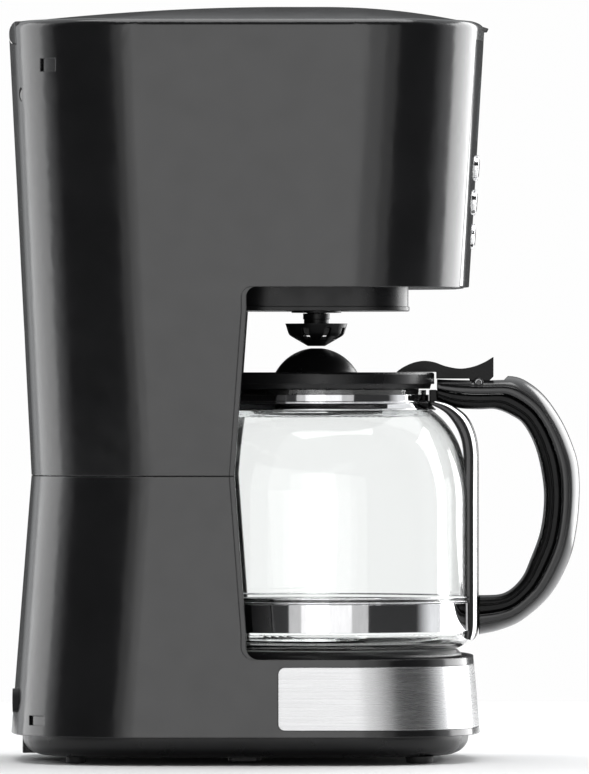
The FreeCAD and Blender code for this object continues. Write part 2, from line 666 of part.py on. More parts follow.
# ---- heater under the warming plate ----
def u_tube(half, z, radius, end_x):
    """Tube bent to a U about the carafe axis, open towards the rear."""
    start = vec(end_x, -half, z)
    path = Part.Wire([
        Part.LineSegment(start, vec(AXIS_X, -half, z)).toShape(),
        Part.Arc(vec(AXIS_X, -half, z), vec(AXIS_X + half, 0, z), vec(AXIS_X, half, z)).toShape(),
        Part.LineSegment(vec(AXIS_X, half, z), vec(end_x, half, z)).toShape(),
    ])
    section = Part.Wire(Part.makeCircle(radius, start, vec(1, 0, 0)))
    return path.makePipeShell([section], True, False)


def heater_water_tube():
    body = u_tube(HEATER_HALF, HEATER_Z, HOSE_R, HEATER_END_X)
    for side in (-1, 1):
        foot = vec(HEATER_END_X - 8, side * HEATER_HALF, HEATER_Z)
        spigot = Part.makeCylinder(RISER_R, 9, foot, vec(1, 0, 0))
        body = body.fuse(spigot)
    return body


def heating_element():
    body = u_tube(ELEMENT_HALF, HEATER_Z + 0.8, 4.2, HEATER_END_X + 12)
    for side in (-1, 1):
        terminal = Part.makeCylinder(1.5, 9, vec(HEATER_END_X + 4, side * ELEMENT_HALF, HEATER_Z + 0.8),
                                     vec(1, 0, 0))
        body = body.fuse(terminal)
    return body


def heater_clamp():
    bar = rounded_box(14, 26, -41, 41, 31.5, 33.0)
    legs = [rounded_box(14, 26, y0, y0 + 1.5, 33.0, 45.2) for y0 in (-41, 39.5)]
    return fuse_all([bar] + legs)


def check_valve():
    """Cage for the ball: spigots above and below a small chamber."""
    x, y = TANK_OUT
    bore = 2.2
    return turned([(bore, 40), (RISER_R, 40), (RISER_R, 46.3), (8, 46.3, 1), (8, 58.2, 1), (RISER_R, 58.2),
                   (RISER_R, 63), (bore, 63), (bore, 56.6), (5.4, 56.6), (5.4, 48), (bore, 48)], x, y)


keep("warming_plate", turned(PLATE_PROFILE))
keep("plate_gasket", turned(GASKET_PROFILE))
keep("heater_water_tube", heater_water_tube())
keep("heating_element", heating_element())
keep("heater_clamp", heater_clamp())
keep("thermostat", turned([(0, 37.5), (8.5, 37.5, 0.6), (8.5, 45.6, 0.6), (0, 45.6)], 2, 0))
keep("thermal_fuses", [Part.makeCylinder(1.9, 8.5, vec(12, y, 43.7), vec(1, 0, 0)) for y in (-6, 6)])
keep("check_valve", check_valve())
keep("check_ball", Part.makeSphere(3.4, vec(TANK_OUT[0], TANK_OUT[1], 48 + 2.9)))

keep("inlet_hose", routed_tube(INLET_ROUTE, HOSE_R, HOSE_BORE))
keep("outlet_hose", routed_tube(RISER_ROUTE, HOSE_R, HOSE_BORE))


def hose_clips():
    clips = [tube(HOSE_R + 0.05, HOSE_R + 1.2, 41.5, 44.5, *TANK_OUT),
             tube(HOSE_R + 0.05, HOSE_R + 1.2, 60, 63, *OUTLET)]
    for y in (-30, 30):
        ring = Part.makeCylinder(HOSE_R + 1.2, 3, vec(HEATER_END_X - 5, y, HEATER_Z), vec(1, 0, 0))
        hole = Part.makeCylinder(HOSE_R + 0.05, 5, vec(HEATER_END_X - 6, y, HEATER_Z), vec(1, 0, 0))
        clips.append(ring.cut(hole).cut(rounded_box(-60, 0, -60, 60, 45.6, 50)))
    return clips


keep("hose_clips", hose_clips())


# ---- brew chamber, filter basket and drip valve ----


def brew_chamber():
    skirt = rounded_box(-36, 52.9, -46, 46, SKIRT_Z, 222.0, 24)
    lip = rounded_box(-36.5, 53.4, -46.5, 46.5, SKIRT_Z, SKIRT_Z + 1.8, 24)
    cone = turned([(0, 221), (42.6, 221), (53.6, CHAMBER_TOP), (0, CHAMBER_TOP)])
    skirt_void = rounded_box(-33.8, 50.7, -43.8, 43.8, SKIRT_Z + 1.8, 219.8, 22)
    above = CHAMBER_TOP + 0.1
    cone_void = turned([(0, 219), (41, 219), (41.2, 221), (51.5, above), (0, above)])
    chamber = skirt.fuse(lip).fuse(cone).cut(skirt_void).cut(cone_void)
    return chamber.cut(cylinder(16.3, SKIRT_Z - 1, SKIRT_Z + 3))


def filter_basket():
    floor = BASKET_FLOOR
    cup = turned([(0, floor), (38, floor, 1.5), (50.6, 318.4), (53.2, 318.4), (53.2, 320.4), (48.6, 320.4),
                  (36.4, floor + 2, 1), (0, floor + 2)])
    spigot = tube(6.9, 11.6, 207.6, floor + 0.5)
    grip = rounded_box(AXIS_X + 49.4, AXIS_X + 52.4, -9, 9, 318.6, 326.0, 1)
    return cup.fuse(spigot).fuse(grip).cut(cylinder(4.0, floor - 1, floor + 3))


def mesh_filter():
    return turned([(0, 224), (31, 224, 2), (45.2, 315.5), (47.6, 315.5), (47.6, 317.2), (44.4, 317.2),
                   (30.2, 224.8, 1.5), (0, 224.8)])


def drip_valve_cup():
    """Slotted cup on four ribs, hanging on a stem through the basket's floor."""
    cup = turned([(0, VALVE_TIP), (4, VALVE_TIP, 0.8), (12.8, 197.2, 3), (14.5, VALVE_RIM),
                  (12.9, VALVE_RIM), (11.2, 198.6, 2), (4, 194.4), (0, 194.4)])
    slots = []
    for i in range(8):
        slot = rounded_box(7.6, 16, -1.7, 1.7, 195.2, 200.6)
        slot.rotate(vec(0, 0, 0), vec(0, 0, 1), 22.5 + 45 * i)
        slot.translate(vec(AXIS_X, 0, 0))
        slots.append(slot)
    cup = cup.cut(Part.makeCompound(slots))
    hub = turned([(0, 193), (2.6, 193), (2.6, 201), (5.8, 201.6), (5.8, 204.6), (6.2, 204.6), (6.2, 207.3),
                  (2.4, 207.3), (2.4, 221.4, 0.4), (0, 221.4)])
    ribs = []
    for i in range(4):
        rib = Part.makeBox(13.6, 1.6, 5.2, vec(0, -0.8, 197))
        rib.rotate(vec(0, 0, 0), vec(0, 0, 1), 45 * 2 * i)
        rib.translate(vec(AXIS_X, 0, 0))
        ribs.append(rib)
    core = turned([(0, 193), (3.6, 193), (11.6, 198.2), (13.6, 202.4), (0, 202.4)])
    ribs = Part.makeCompound(ribs).common(core)
    return fuse_all([cup, hub] + ribs.Solids)


def valve_spring():
    """Coils between the basket's floor and the valve's neck, drawn as closed rings."""
    low = VALVE_NECK_Z + SPRING_WIRE_R + 0.05
    pitch = (BASKET_FLOOR - SPRING_WIRE_R - 0.05 - low) / (SPRING_COILS - 1)
    return [Part.makeTorus(SPRING_R, SPRING_WIRE_R, vec(AXIS_X, 0, low + pitch * i))
            for i in range(SPRING_COILS)]


keep("brew_chamber", brew_chamber())
keep("filter_basket", filter_basket())
keep("mesh_filter", mesh_filter())
keep("drip_valve_cup", drip_valve_cup())
SEAL_Z = BASKET_FLOOR + VALVE_DROP + 2.3
keep("valve_seal", tube(2.45, 6.5, SEAL_Z, SEAL_Z + 2))
keep("valve_spring", valve_spring())


# ---- control panel's buttons, display and electronics ----


def button_cap(y, z):
    cap = along_x(BUTTON_R, -4.6, BUTTON_PROUD)
    rim = [e for e in cap.Edges if abs(e.CenterOfMass.x - BUTTON_PROUD) < 1e-6 and e.Length < 7 * BUTTON_R]
    cap = cap.makeFillet(0.7, rim)
    cap = cap.fuse(along_x(5.1, -4.6, -3.4)).fuse(along_x(1.5, -6.3, -4.0))
    return on_panel(cap, y, z)


def button_bezel(y, z):
    ring = along_x(BEZEL_R[1], -0.35, 1.2)
    rim = [e for e in ring.Edges if abs(e.CenterOfMass.x - 1.2) < 1e-6 and e.Length < 7 * BEZEL_R[1]]
    ring = ring.makeFillet(0.5, rim).fuse(along_x(BEZEL_R[0] + 0.7, -3.1, 0))
    return on_panel(ring.cut(along_x(BEZEL_R[0], -5, 5)), y, z)


def control_board():
    board = on_panel(block_x(-BOARD_DEPTH - 1.6, -BOARD_DEPTH, *BOARD_HALF), 0, BOARD_Z)
    holes = [on_panel(along_x(1.7, -20, 0), y, BOARD_Z + dz) for y, dz in BOARD_SCREWS]
    connector = on_panel(block_x(-BOARD_DEPTH - 5, -BOARD_DEPTH - 1.5, 6, 4), 18, 290)
    return board.cut(Part.makeCompound(holes)).fuse(connector)


def tact_switch(y, z):
    return on_panel(block_x(-BOARD_DEPTH + 1.2, -8.6, 3, 3).fuse(along_x(1.7, -8.6, -7.5)), y, z)


keep("control_board", control_board())
keep("button_bezels", [button_bezel(y, z) for y, z in button_places()])
for number, (y, z) in enumerate(button_places(), 1):
    keep(f"button_{number}", button_cap(y, z))
keep("switches", [tact_switch(y, z) for y, z in button_places()])
keep("display_window", skin(DISPLAY_Z[0] - 1, DISPLAY_Z[1] + 1, WALL, True).common(display_opening()))
keep("display_module", on_panel(block_x(-8.4, -4.4, 32, 17), 0, sum(DISPLAY_Z) / 2))


# ---- base: tray, feet, gland, power board ----


def tray_shape(inset, z0, z1, radius):
    rear, front, half = plan_at(BASE_Z, False)
    wire = bulged_wire(rear + inset, front - inset, half - inset, CORNER_R - inset, FACE_R - inset, z0)
    block = Part.Face(wire).extrude(vec(0, 0, z1 - z0))
    low = [e for e in block.Edges if max(v.Z for v in e.Vertexes) < z0 + 0.01]
    return block.makeFillet(radius, low)


def base_tray():
    tray = tray_shape(TRAY_INSET, TRAY_Z, BASE_Z + 0.4, 8.0)
    tray = tray.cut(tray_shape(TRAY_INSET + WALL, TRAY_Z + WALL, BASE_Z + 1, 5.5))
    pads = [rounded_box(-30.4, -15.3, y - 5, y + 5, 0.9, 3.5, 2) for y in (-FOOT_Y, FOOT_Y)]
    tray = tray.fuse(Part.makeCompound(pads))
    tray = tray.fuse(rounded_box(-126.4, -119.4, -20, 20, 3.0, 12.8, 1.5))
    slots = [rounded_box(x, x + 3, y0, y0 + 34, 2, 7, 1.4) for x in (-30, -22, -14, -6, 2, 10, 18, 26)
             for y0 in (-44, 10)]
    tray = tray.cut(Part.makeCompound(slots))
    for x, y in POSTS:
        tray = tray.fuse(cylinder(4.5, 3.2, DECK_Z - WALL - 0.1, x, y)).cut(cylinder(1.75, 0, 60, x, y))
        tray = tray.cut(cylinder(3.8, 0, 9, x, y))
    return tray


def rubber_feet():
    feet = []
    for x, radius in ((FRONT_FOOT_X, 6.5), (REAR_FOOT_X, 4.8)):
        for y in (-FOOT_Y, FOOT_Y):
            feet.append(turned([(0, 0), (radius - 0.4, 0, 0.5), (radius, 3.0), (0, 3.0)], x, y))
    return feet


def base_screws():
    tip = DECK_Z - 0.5
    return [turned([(0, 6.2), (3.3, 6.2, 0.5), (3.3, 9.0), (1.7, 9.0), (1.7, tip), (0, tip)], x, y)
            for x, y in POSTS]


def power_board():
    board = rounded_box(-112, -66, 2, 48, 20, 21.6)
    relay = rounded_box(-108, -92, 8, 24, 21.6, 38, 1)
    fuse = rounded_box(-88, -72, 8, 16, 21.6, 30, 1)
    capacitor = cylinder(6, 21.6, 36, -80, 32)
    connector = rounded_box(-100, -84, 36, 45, 21.6, 29)
    stands = [cylinder(2.5, 5.5, 20, x, y) for x in (-108, -70) for y in (6, 44)]
    return fuse_all([board, relay, fuse, capacitor, connector] + stands)


keep("base_tray", base_tray())
keep("rubber_feet", rubber_feet())
keep("base_screws", base_screws())
keep("power_board", power_board())
keep("cord_gland", cord_gland_rod(5.5))

keep("wire_loom", routed_tube(LOOM_ROUTE, 2.2))


# ---- carafe ----


def smooth_edge(points):
    curve = Part.BSplineCurve()
    curve.interpolate([in_side(x, z) for x, z in points])
    return curve.toShape()


def straight(a, b):
    return Part.LineSegment(in_side(*a), in_side(*b)).toShape()


def handle_between(outer, inner, root_top, root_low, elbow, half):
    """Handle layer between two side view curves, from its root at the lid to its lower end."""
    edges = [straight((HANDLE_ROOT["x"], root_top), outer[0]), smooth_edge(outer),
             straight(outer[-1], inner[-1]), smooth_edge(inner[::-1])]
    if elbow:
        edges += [straight(inner[0], elbow), straight(elbow, (HANDLE_ROOT["x"], root_low))]
    else:
        edges.append(straight(inner[0], (HANDLE_ROOT["x"], root_low)))
    edges.append(straight((HANDLE_ROOT["x"], root_low), (HANDLE_ROOT["x"], root_top)))
    face = Part.Face(Part.Wire(edges))
    face.translate(vec(0, -half, 0))
    return face.extrude(vec(0, 2 * half, 0))


def handle_middle(share):
    """Curve part of the way from the inner to the outer outline."""
    outer = smooth_edge(HANDLE_OUTER)
    inner = smooth_edge(HANDLE_INNER)
    points = []
    for i in range(9):
        along = i / 8
        a = inner.valueAt(inner.getParameterByLength(inner.Length * along))
        b = outer.valueAt(outer.getParameterByLength(outer.Length * along))
        middle = a + (b - a) * share
        points.append((middle.x, middle.z))
    return points


def round_long_edges(shape, radius, chosen):
    """Fillets the long curved edges picked by a test on their middle point."""
    edges = [e for e in shape.Edges if e.Length > 30 and chosen(e.CenterOfMass)]
    return shape.makeFillet(radius, edges)


def lever_slot():
    return side_prism([(60, 170.8), (92.6, 170.8), (99.8, 178.4), (99.8, 190), (60, 190)],
                      -LEVER_HALF - 0.4, LEVER_HALF + 0.4)


def handle_screw_list(grow=0.0):
    low = Part.makeCylinder(1.5 + grow, 8.6, vec(84.6 - grow, 0, 69.5), vec(1, 0, 0))
    low = low.fuse(Part.makeCylinder(3.0 + grow, 1.4, vec(83.2, 0, 69.5), vec(1, 0, 0)))
    high = Part.makeCylinder(1.2 + grow, 14, vec(64.1, 0, 169.0), vec(1, 0, 0))
    high = high.fuse(Part.makeCylinder(2.1 + grow, 1.1, vec(63.1, 0, 169.0), vec(1, 0, 0)))
    return [low, high]


def handle_root_at(share):
    low = HANDLE_ROOT["low"]
    return low + (HANDLE_ROOT["top"] - low) * share


def handle_shell():
    middle = handle_middle(INSERT_SHARE + 0.01)
    shell = handle_between(HANDLE_OUTER, middle, HANDLE_ROOT["top"], handle_root_at(INSERT_SHARE + 0.01),
                           None, HANDLE_HALF)
    outer_edge = smooth_edge(HANDLE_OUTER)
    shell = round_long_edges(shell, 4.0, lambda c: abs(abs(c.y) - HANDLE_HALF) < 0.1 and (
        abs(c.z - HANDLE_ROOT["top"]) < 0.01
        or (c - vec(outer_edge.CenterOfMass.x, c.y, outer_edge.CenterOfMass.z)).Length < 2))
    shell = shell.cut(lever_slot()).cut(cross_rod(PIVOT_R, PIVOT[0], PIVOT[1], -11.5, 11.5))
    return shell


def handle_insert():
    middle = handle_middle(INSERT_SHARE - 0.01)
    insert = handle_between(middle, HANDLE_INNER, handle_root_at(INSERT_SHARE - 0.01), HANDLE_ROOT["low"],
                            HANDLE_ROOT["elbow"], HANDLE_HALF - 1.4)
    inner_edge = smooth_edge(HANDLE_INNER)
    middle_of_inner = inner_edge.CenterOfMass
    insert = round_long_edges(insert, 3.0, lambda c: abs(abs(c.y) - HANDLE_HALF + 1.4) < 0.1
                              and (c - vec(middle_of_inner.x, c.y, middle_of_inner.z)).Length < 2)
    insert = insert.cut(lever_slot())
    for screw in handle_screw_list():
        insert = insert.cut(screw)
    return insert


def handle_strap():
    strap = side_prism(STRAP_OUTLINE, -10, 10)
    strap = strap.cut(turned(GLASS_CLEAR))
    strap = strap.cut(turned([(r + dr, z + dz) for (r, z), (dr, dz) in zip(
        NECK_BAND, ((-2, 0.1), (0.1, 0.1), (0.1, 0.05), (0.15, 0), (0, -0.3), (-2, -2)))]))
    band_low, band_high = LOWER_BAND["z"]
    strap = strap.cut(cylinder(LOWER_BAND["r"][1] + 0.1, band_low - 0.1, band_high + 0.1))
    strap = strap.cut(cylinder(60, 40, 175, AXIS_X - 9))
    for screw in handle_screw_list(0.1):
        strap = strap.cut(screw)
    return strap


def carafe_lid():
    return turned(CARAFE_LID_PROFILE)


def lid_dome_cap():
    centre = vec(AXIS_X, 0, DOME_TOP - DOME_R)
    cap = Part.makeSphere(DOME_R, centre).cut(Part.makeSphere(DOME_R - 2, centre))
    cap = cap.cut(cylinder(40, 100, DOME_BASE))
    return cap.cut(cylinder(2.5, 180, 200))


def thumb_lever():
    lever = side_prism(LEVER_OUTLINE, -LEVER_HALF, LEVER_HALF)
    return lever.cut(cross_rod(PIVOT_R + RUN, PIVOT[0], PIVOT[1], -20, 20))


keep("carafe_glass", turned(GLASS_OUTER).cut(turned(GLASS_INNER)))
keep("carafe_lower_band", tube(*LOWER_BAND["r"], *LOWER_BAND["z"]))
keep("carafe_neck_band", turned(NECK_BAND))
keep("handle_strap", handle_strap())
keep("handle_shell", handle_shell())
keep("handle_insert", handle_insert())
keep("handle_screws", handle_screw_list())
keep("carafe_lid", carafe_lid())
keep("carafe_lid_dome", lid_dome_cap())
keep("thumb_lever", thumb_lever())
keep("lid_pivot_pin", cross_rod(PIVOT_R, PIVOT[0], PIVOT[1], -11.5, 11.5))


# ---- files ----
os.makedirs("parts", exist_ok=True)
for old in os.listdir("parts"):
    os.remove(os.path.join("parts", old))
for name, shape in NODES.items():
    if not shape.isValid():
        print("not valid:", name)
    shape.exportStep(os.path.join("parts", name + ".step"))
    box = shape.BoundBox
    print(f"{name}: {len(shape.Solids)} solids, X {box.XMin:.1f} {box.XMax:.1f}, "
          f"Y {box.YMin:.1f} {box.YMax:.1f}, Z {box.ZMin:.1f} {box.ZMax:.1f}")
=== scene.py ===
import json
import math

import bmesh
import bpy
from mathutils import Matrix, Vector


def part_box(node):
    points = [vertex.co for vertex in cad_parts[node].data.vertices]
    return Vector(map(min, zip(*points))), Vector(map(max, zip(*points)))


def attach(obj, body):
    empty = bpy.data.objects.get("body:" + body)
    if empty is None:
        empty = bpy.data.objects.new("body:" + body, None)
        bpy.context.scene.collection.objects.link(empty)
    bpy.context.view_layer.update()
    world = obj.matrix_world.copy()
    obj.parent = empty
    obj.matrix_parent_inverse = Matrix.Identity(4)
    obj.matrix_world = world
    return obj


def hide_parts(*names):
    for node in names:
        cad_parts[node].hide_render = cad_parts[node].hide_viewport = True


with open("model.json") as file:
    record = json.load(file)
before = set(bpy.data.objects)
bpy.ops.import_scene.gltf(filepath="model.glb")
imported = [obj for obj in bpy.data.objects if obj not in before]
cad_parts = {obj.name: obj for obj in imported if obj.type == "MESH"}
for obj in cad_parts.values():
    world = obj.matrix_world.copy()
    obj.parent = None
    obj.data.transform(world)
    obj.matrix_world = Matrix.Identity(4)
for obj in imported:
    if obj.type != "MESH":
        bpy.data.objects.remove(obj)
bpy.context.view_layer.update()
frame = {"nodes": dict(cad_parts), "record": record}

# Drip coffee maker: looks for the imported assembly. Metres, +Z up, the carafe handle towards +X.
MM = 0.001
NODES = frame["nodes"]


# ---- camera, lights and world ----
CAMERA_DISTANCE = 5.0
CAMERA_Z = 0.173
CAMERA_LENS = 498.5              # a long lens on a 36 mm sensor: nearly a pure side view


def make_camera():
    data = bpy.data.cameras.new("camera")
    data.sensor_width = 36.0
    data.lens = CAMERA_LENS
    camera = bpy.data.objects.new("camera", data)
    bpy.context.scene.collection.objects.link(camera)
    camera.location = (0, -CAMERA_DISTANCE, CAMERA_Z)
    camera.rotation_euler = (math.radians(90), 0, 0)
    bpy.context.scene.camera = camera


def soft_box(name, place, target, width, height, radiance):
    """Rectangular studio light facing a target, set by the radiance of its face."""
    data = bpy.data.lights.new(name, "AREA")
    data.shape = "RECTANGLE"
    data.size = width
    data.size_y = height
    data.energy = radiance * math.pi * width * height
    light = bpy.data.objects.new(name, data)
    bpy.context.scene.collection.objects.link(light)
    light.location = place
    light.rotation_euler = (Vector(target) - Vector(place)).to_track_quat("-Z", "Y").to_euler()


MACHINE_MIDDLE = (0, 0, 0.17)
FRONT_Z = 0.35
FRONT_HEIGHT = 4.4
# Boxes behind the camera, one before the other: name, X, Y, width and radiance. Their sum falls off in steps.
FRONT_BOXES = [("front_box", 1.33, -6.2, 7.2, 0.60), ("front_middle", 0.9, -6.15, 4.2, 0.55),
               ("front_core", 0.1, -6.1, 1.7, 0.85)]
# Boxes round the machine: name, place, width, height and radiance.
SIDE_BOXES = [("right_box", (2.0, 1.6, 0.6), 2.4, 2.4, 4.2), ("left_box", (-2.3, 1.15, 0.6), 1.9, 2.4, 1.7),
              ("top_box", (0.1, -0.2, 2.5), 2.2, 2.2, 3.2)]


def make_lights():
    for name, x, y, width, radiance in FRONT_BOXES:
        soft_box(name, (x, y, FRONT_Z), (x, 0, FRONT_Z), width, FRONT_HEIGHT, radiance)
    for name, place, width, height, radiance in SIDE_BOXES:
        soft_box(name, place, MACHINE_MIDDLE, width, height, radiance)


# Brightness of the room by direction along Y, from 0 (the camera's side) to 1 (behind the machine).
ROOM_START = 0.04
ROOM_LEVELS = [(0.41, 0.04), (0.53, 0.95), (0.93, 0.95), (0.985, 0.10)]
ROOM_END = 0.08
ROOM_TONE = (0.97, 0.985, 1.0, 1)
BACKDROP_STRENGTH = 0.99


def make_world():
    """Pale behind the object and dark beside the camera, so that glossy corners show dark bands."""
    world = bpy.data.worlds.new("studio")
    bpy.context.scene.world = world
    world.use_nodes = True
    tree = world.node_tree
    tree.nodes.clear()
    coord = tree.nodes.new("ShaderNodeTexCoord")
    split = tree.nodes.new("ShaderNodeSeparateXYZ")
    half = tree.nodes.new("ShaderNodeMapRange")
    half.inputs["From Min"].default_value = -1.0
    half.inputs["From Max"].default_value = 1.0
    levels = tree.nodes.new("ShaderNodeValToRGB")
    for stop, bright in ROOM_LEVELS:
        levels.color_ramp.elements.new(stop).color = (bright, bright, bright, 1)
    levels.color_ramp.elements[0].color = (ROOM_START, ROOM_START, ROOM_START, 1)
    levels.color_ramp.elements[-1].color = (ROOM_END, ROOM_END, ROOM_END, 1)
    path = tree.nodes.new("ShaderNodeLightPath")
    seen = tree.nodes.new("ShaderNodeMath")
    seen.operation = "MAXIMUM"
    room = tree.nodes.new("ShaderNodeBackground")
    room.inputs["Color"].default_value = ROOM_TONE
    backdrop = tree.nodes.new("ShaderNodeBackground")
    backdrop.inputs["Color"].default_value = (1.0, 1.0, 1.0, 1)
    backdrop.inputs["Strength"].default_value = BACKDROP_STRENGTH
    mix = tree.nodes.new("ShaderNodeMixShader")
    output = tree.nodes.new("ShaderNodeOutputWorld")
    tree.links.new(coord.outputs["Generated"], split.inputs[0])
    tree.links.new(split.outputs["Y"], half.inputs["Value"])
    tree.links.new(half.outputs["Result"], levels.inputs["Fac"])
    tree.links.new(levels.outputs["Color"], room.inputs["Strength"])
    tree.links.new(path.outputs["Is Camera Ray"], seen.inputs[0])
    tree.links.new(path.outputs["Is Transmission Ray"], seen.inputs[1])
    tree.links.new(seen.outputs[0], mix.inputs[0])
    tree.links.new(room.outputs[0], mix.inputs[1])
    tree.links.new(backdrop.outputs[0], mix.inputs[2])
    tree.links.new(mix.outputs[0], output.inputs["Surface"])


# ---- material building blocks ----
class Surface:
    """A node material that is built up in steps on one Principled shader."""

    def __init__(self, name, color, roughness):
        self.material = bpy.data.materials.new(name)
        self.material.use_nodes = True
        self.tree = self.material.node_tree
        self.shader = self.tree.nodes["Principled BSDF"]
        self.shader.inputs["Base Color"].default_value = (*color, 1)
        self.shader.inputs["Roughness"].default_value = roughness
        self.base = color
        self.normal = None
        self.color = None

    def node(self, kind, **values):
        made = self.tree.nodes.new(kind)
        for key, value in values.items():
            setattr(made, key, value)
        return made

    def link(self, source, target):
        self.tree.links.new(source, target)

    def position(self, stretch=(1, 1, 1)):
        coord = self.node("ShaderNodeTexCoord")
        mapping = self.node("ShaderNodeMapping")
        mapping.inputs["Scale"].default_value = stretch
        self.link(coord.outputs["Object"], mapping.inputs["Vector"])
        return mapping.outputs["Vector"]

    def noise(self, scale, detail=4.0, stretch=(1, 1, 1), rough=0.5):
        texture = self.node("ShaderNodeTexNoise")
        texture.inputs["Scale"].default_value = scale
        texture.inputs["Detail"].default_value = detail
        texture.inputs["Roughness"].default_value = rough
        self.link(self.position(stretch), texture.inputs["Vector"])
        return texture.outputs["Fac"]

    def spread(self, value, low, high, start=0.3, end=0.7):
        """Maps a value between two levels to a new range."""
        mapped = self.node("ShaderNodeMapRange")
        mapped.inputs["From Min"].default_value = start
        mapped.inputs["From Max"].default_value = end
        mapped.inputs["To Min"].default_value = low
        mapped.inputs["To Max"].default_value = high
        self.link(value, mapped.inputs["Value"])
        return mapped.outputs["Result"]

    def tint(self, value, color):
        """Mixes a colour over what is there, by a value from 0 to 1."""
        mix = self.node("ShaderNodeMix", data_type="RGBA")
        self.link(value, mix.inputs["Factor"])
        colour_in = [s for s in mix.inputs if s.name == "A" and s.type == "RGBA"][0]
        colour_over = [s for s in mix.inputs if s.name == "B" and s.type == "RGBA"][0]
        colour_over.default_value = (*color, 1)
        colour_out = [s for s in mix.outputs if s.type == "RGBA"][0]
        if self.color is None:
            colour_in.default_value = (*self.base, 1)
        else:
            self.link(self.color, colour_in)
        self.color = colour_out
        self.link(colour_out, self.shader.inputs["Base Color"])

    def vary_roughness(self, value, low, high):
        self.link(self.spread(value, low, high), self.shader.inputs["Roughness"])

    def bump(self, height, depth, strength=1.0):
        """Relief of a real depth in metres, over any bump already there."""
        relief = self.node("ShaderNodeBump")
        relief.inputs["Strength"].default_value = strength
        relief.inputs["Distance"].default_value = depth
        self.link(height, relief.inputs["Height"])
        if self.normal is not None:
            self.link(self.normal, relief.inputs["Normal"])
        self.normal = relief.outputs["Normal"]
        self.link(self.normal, self.shader.inputs["Normal"])

    def soft_edges(self, radius):
        """Rounds the look of sharp moulded edges."""
        bevel = self.node("ShaderNodeBevel", samples=4)
        bevel.inputs["Radius"].default_value = radius
        self.normal = bevel.outputs["Normal"]
        self.link(self.normal, self.shader.inputs["Normal"])
        return bevel.outputs["Normal"]

    def edge_wear(self, rounded, color, amount, breakup=220.0):
        """Lighter rubbed colour where the rounded normal leaves the true one, broken up by noise."""
        geometry = self.node("ShaderNodeNewGeometry")
        dot = self.node("ShaderNodeVectorMath", operation="DOT_PRODUCT")
        self.link(rounded, dot.inputs[0])
        self.link(geometry.outputs["Normal"], dot.inputs[1])
        edge = self.spread(dot.outputs["Value"], amount, 0.0, 0.80, 0.985)
        patches = self.spread(self.noise(breakup, 3.0), 0.0, 1.0, 0.42, 0.62)
        product = self.node("ShaderNodeMath", operation="MULTIPLY")
        self.link(edge, product.inputs[0])
        self.link(patches, product.inputs[1])
        self.tint(product.outputs[0], color)


def moulded(name, color, roughness, grain, depth, edge=0.0005, ior=1.5, worn=(0.09, 0.09, 0.092)):
    """Moulded plastic: mottled tone, fine grain, soft edges with a little wear."""
    surface = Surface(name, color, roughness)
    surface.shader.inputs["IOR"].default_value = ior
    rounded = surface.soft_edges(edge)
    lighter = tuple(c * 1.5 + 0.002 for c in color)
    surface.tint(surface.spread(surface.noise(35.0, 5.0), 0.0, 0.55), lighter)
    surface.edge_wear(rounded, worn, 0.35)
    surface.vary_roughness(surface.noise(90.0, 4.0), roughness * 0.85, roughness * 1.2)
    surface.bump(surface.noise(grain, 2.0), depth)
    return surface


def metal(name, color, roughness, scratch=(1, 1, 1), scale=900.0, depth=0.000004, edge=0.0003):
    """Metal with streaks along the axis whose scratch value is the smallest."""
    surface = Surface(name, color, roughness)
    surface.shader.inputs["Metallic"].default_value = 1.0
    surface.soft_edges(edge)
    streaks = surface.noise(scale, 5.0, scratch, 0.6)
    darker = tuple(c * 0.86 for c in color)
    surface.tint(surface.spread(streaks, 0.0, 0.8), darker)
    surface.vary_roughness(streaks, roughness * 0.75, roughness * 1.3)
    surface.bump(streaks, depth)
    return surface


# ---- the materials: one for each slot of the record, and one deeper black ----
def black_gloss():
    """Polished black ABS of the housing: a faint orange peel under the gloss."""
    surface = moulded("black_gloss", (0.0085, 0.0085, 0.009), 0.17, 420.0, 0.0000012, 0.0006, 1.56)
    surface.bump(surface.noise(2600.0, 2.0), 0.0000006)
    return surface.material


def black_panel():
    surface = moulded("black_panel", (0.007, 0.007, 0.0075), 0.10, 300.0, 0.0000008, 0.0005, 1.55)
    return surface.material


def black_matte():
    """Satin black with a fine sparked texture."""
    surface = moulded("black_matte", (0.0065, 0.0065, 0.007), 0.30, 1500.0, 0.000006, 0.0005, 1.5)
    surface.shader.inputs["Specular IOR Level"].default_value = 0.34
    cells = surface.node("ShaderNodeTexVoronoi")
    cells.inputs["Scale"].default_value = 2400.0
    surface.link(surface.position(), cells.inputs["Vector"])
    surface.bump(cells.outputs["Distance"], 0.000004)
    return surface.material


def black_deep():
    """Deep satin black of the carafe's lever, strap and grip insert, with little shine."""
    surface = moulded("black_deep", (0.0045, 0.0045, 0.0047), 0.27, 1400.0, 0.000003, 0.0005, 1.5,
                      (0.03, 0.03, 0.031))
    surface.shader.inputs["Specular IOR Level"].default_value = 0.17
    return surface.material


def brushed_steel():
    """Steel with a fine, even brush running round the base."""
    surface = Surface("brushed_steel", (0.54, 0.54, 0.545), 0.27)
    surface.shader.inputs["Metallic"].default_value = 1.0
    surface.soft_edges(0.0003)
    brush = surface.noise(2600.0, 3.0, (0.01, 0.01, 1.0), 0.5)
    surface.tint(surface.spread(brush, 0.0, 0.35), (0.50, 0.50, 0.505))
    surface.vary_roughness(brush, 0.25, 0.29)
    surface.bump(brush, 0.0000002)
    return surface.material


def polished_steel():
    """Bright plating with faint wiping marks."""
    surface = metal("polished_steel", (0.86, 0.86, 0.87), 0.06, (1, 1, 0.25), 260.0, 0.0000004)
    return surface.material


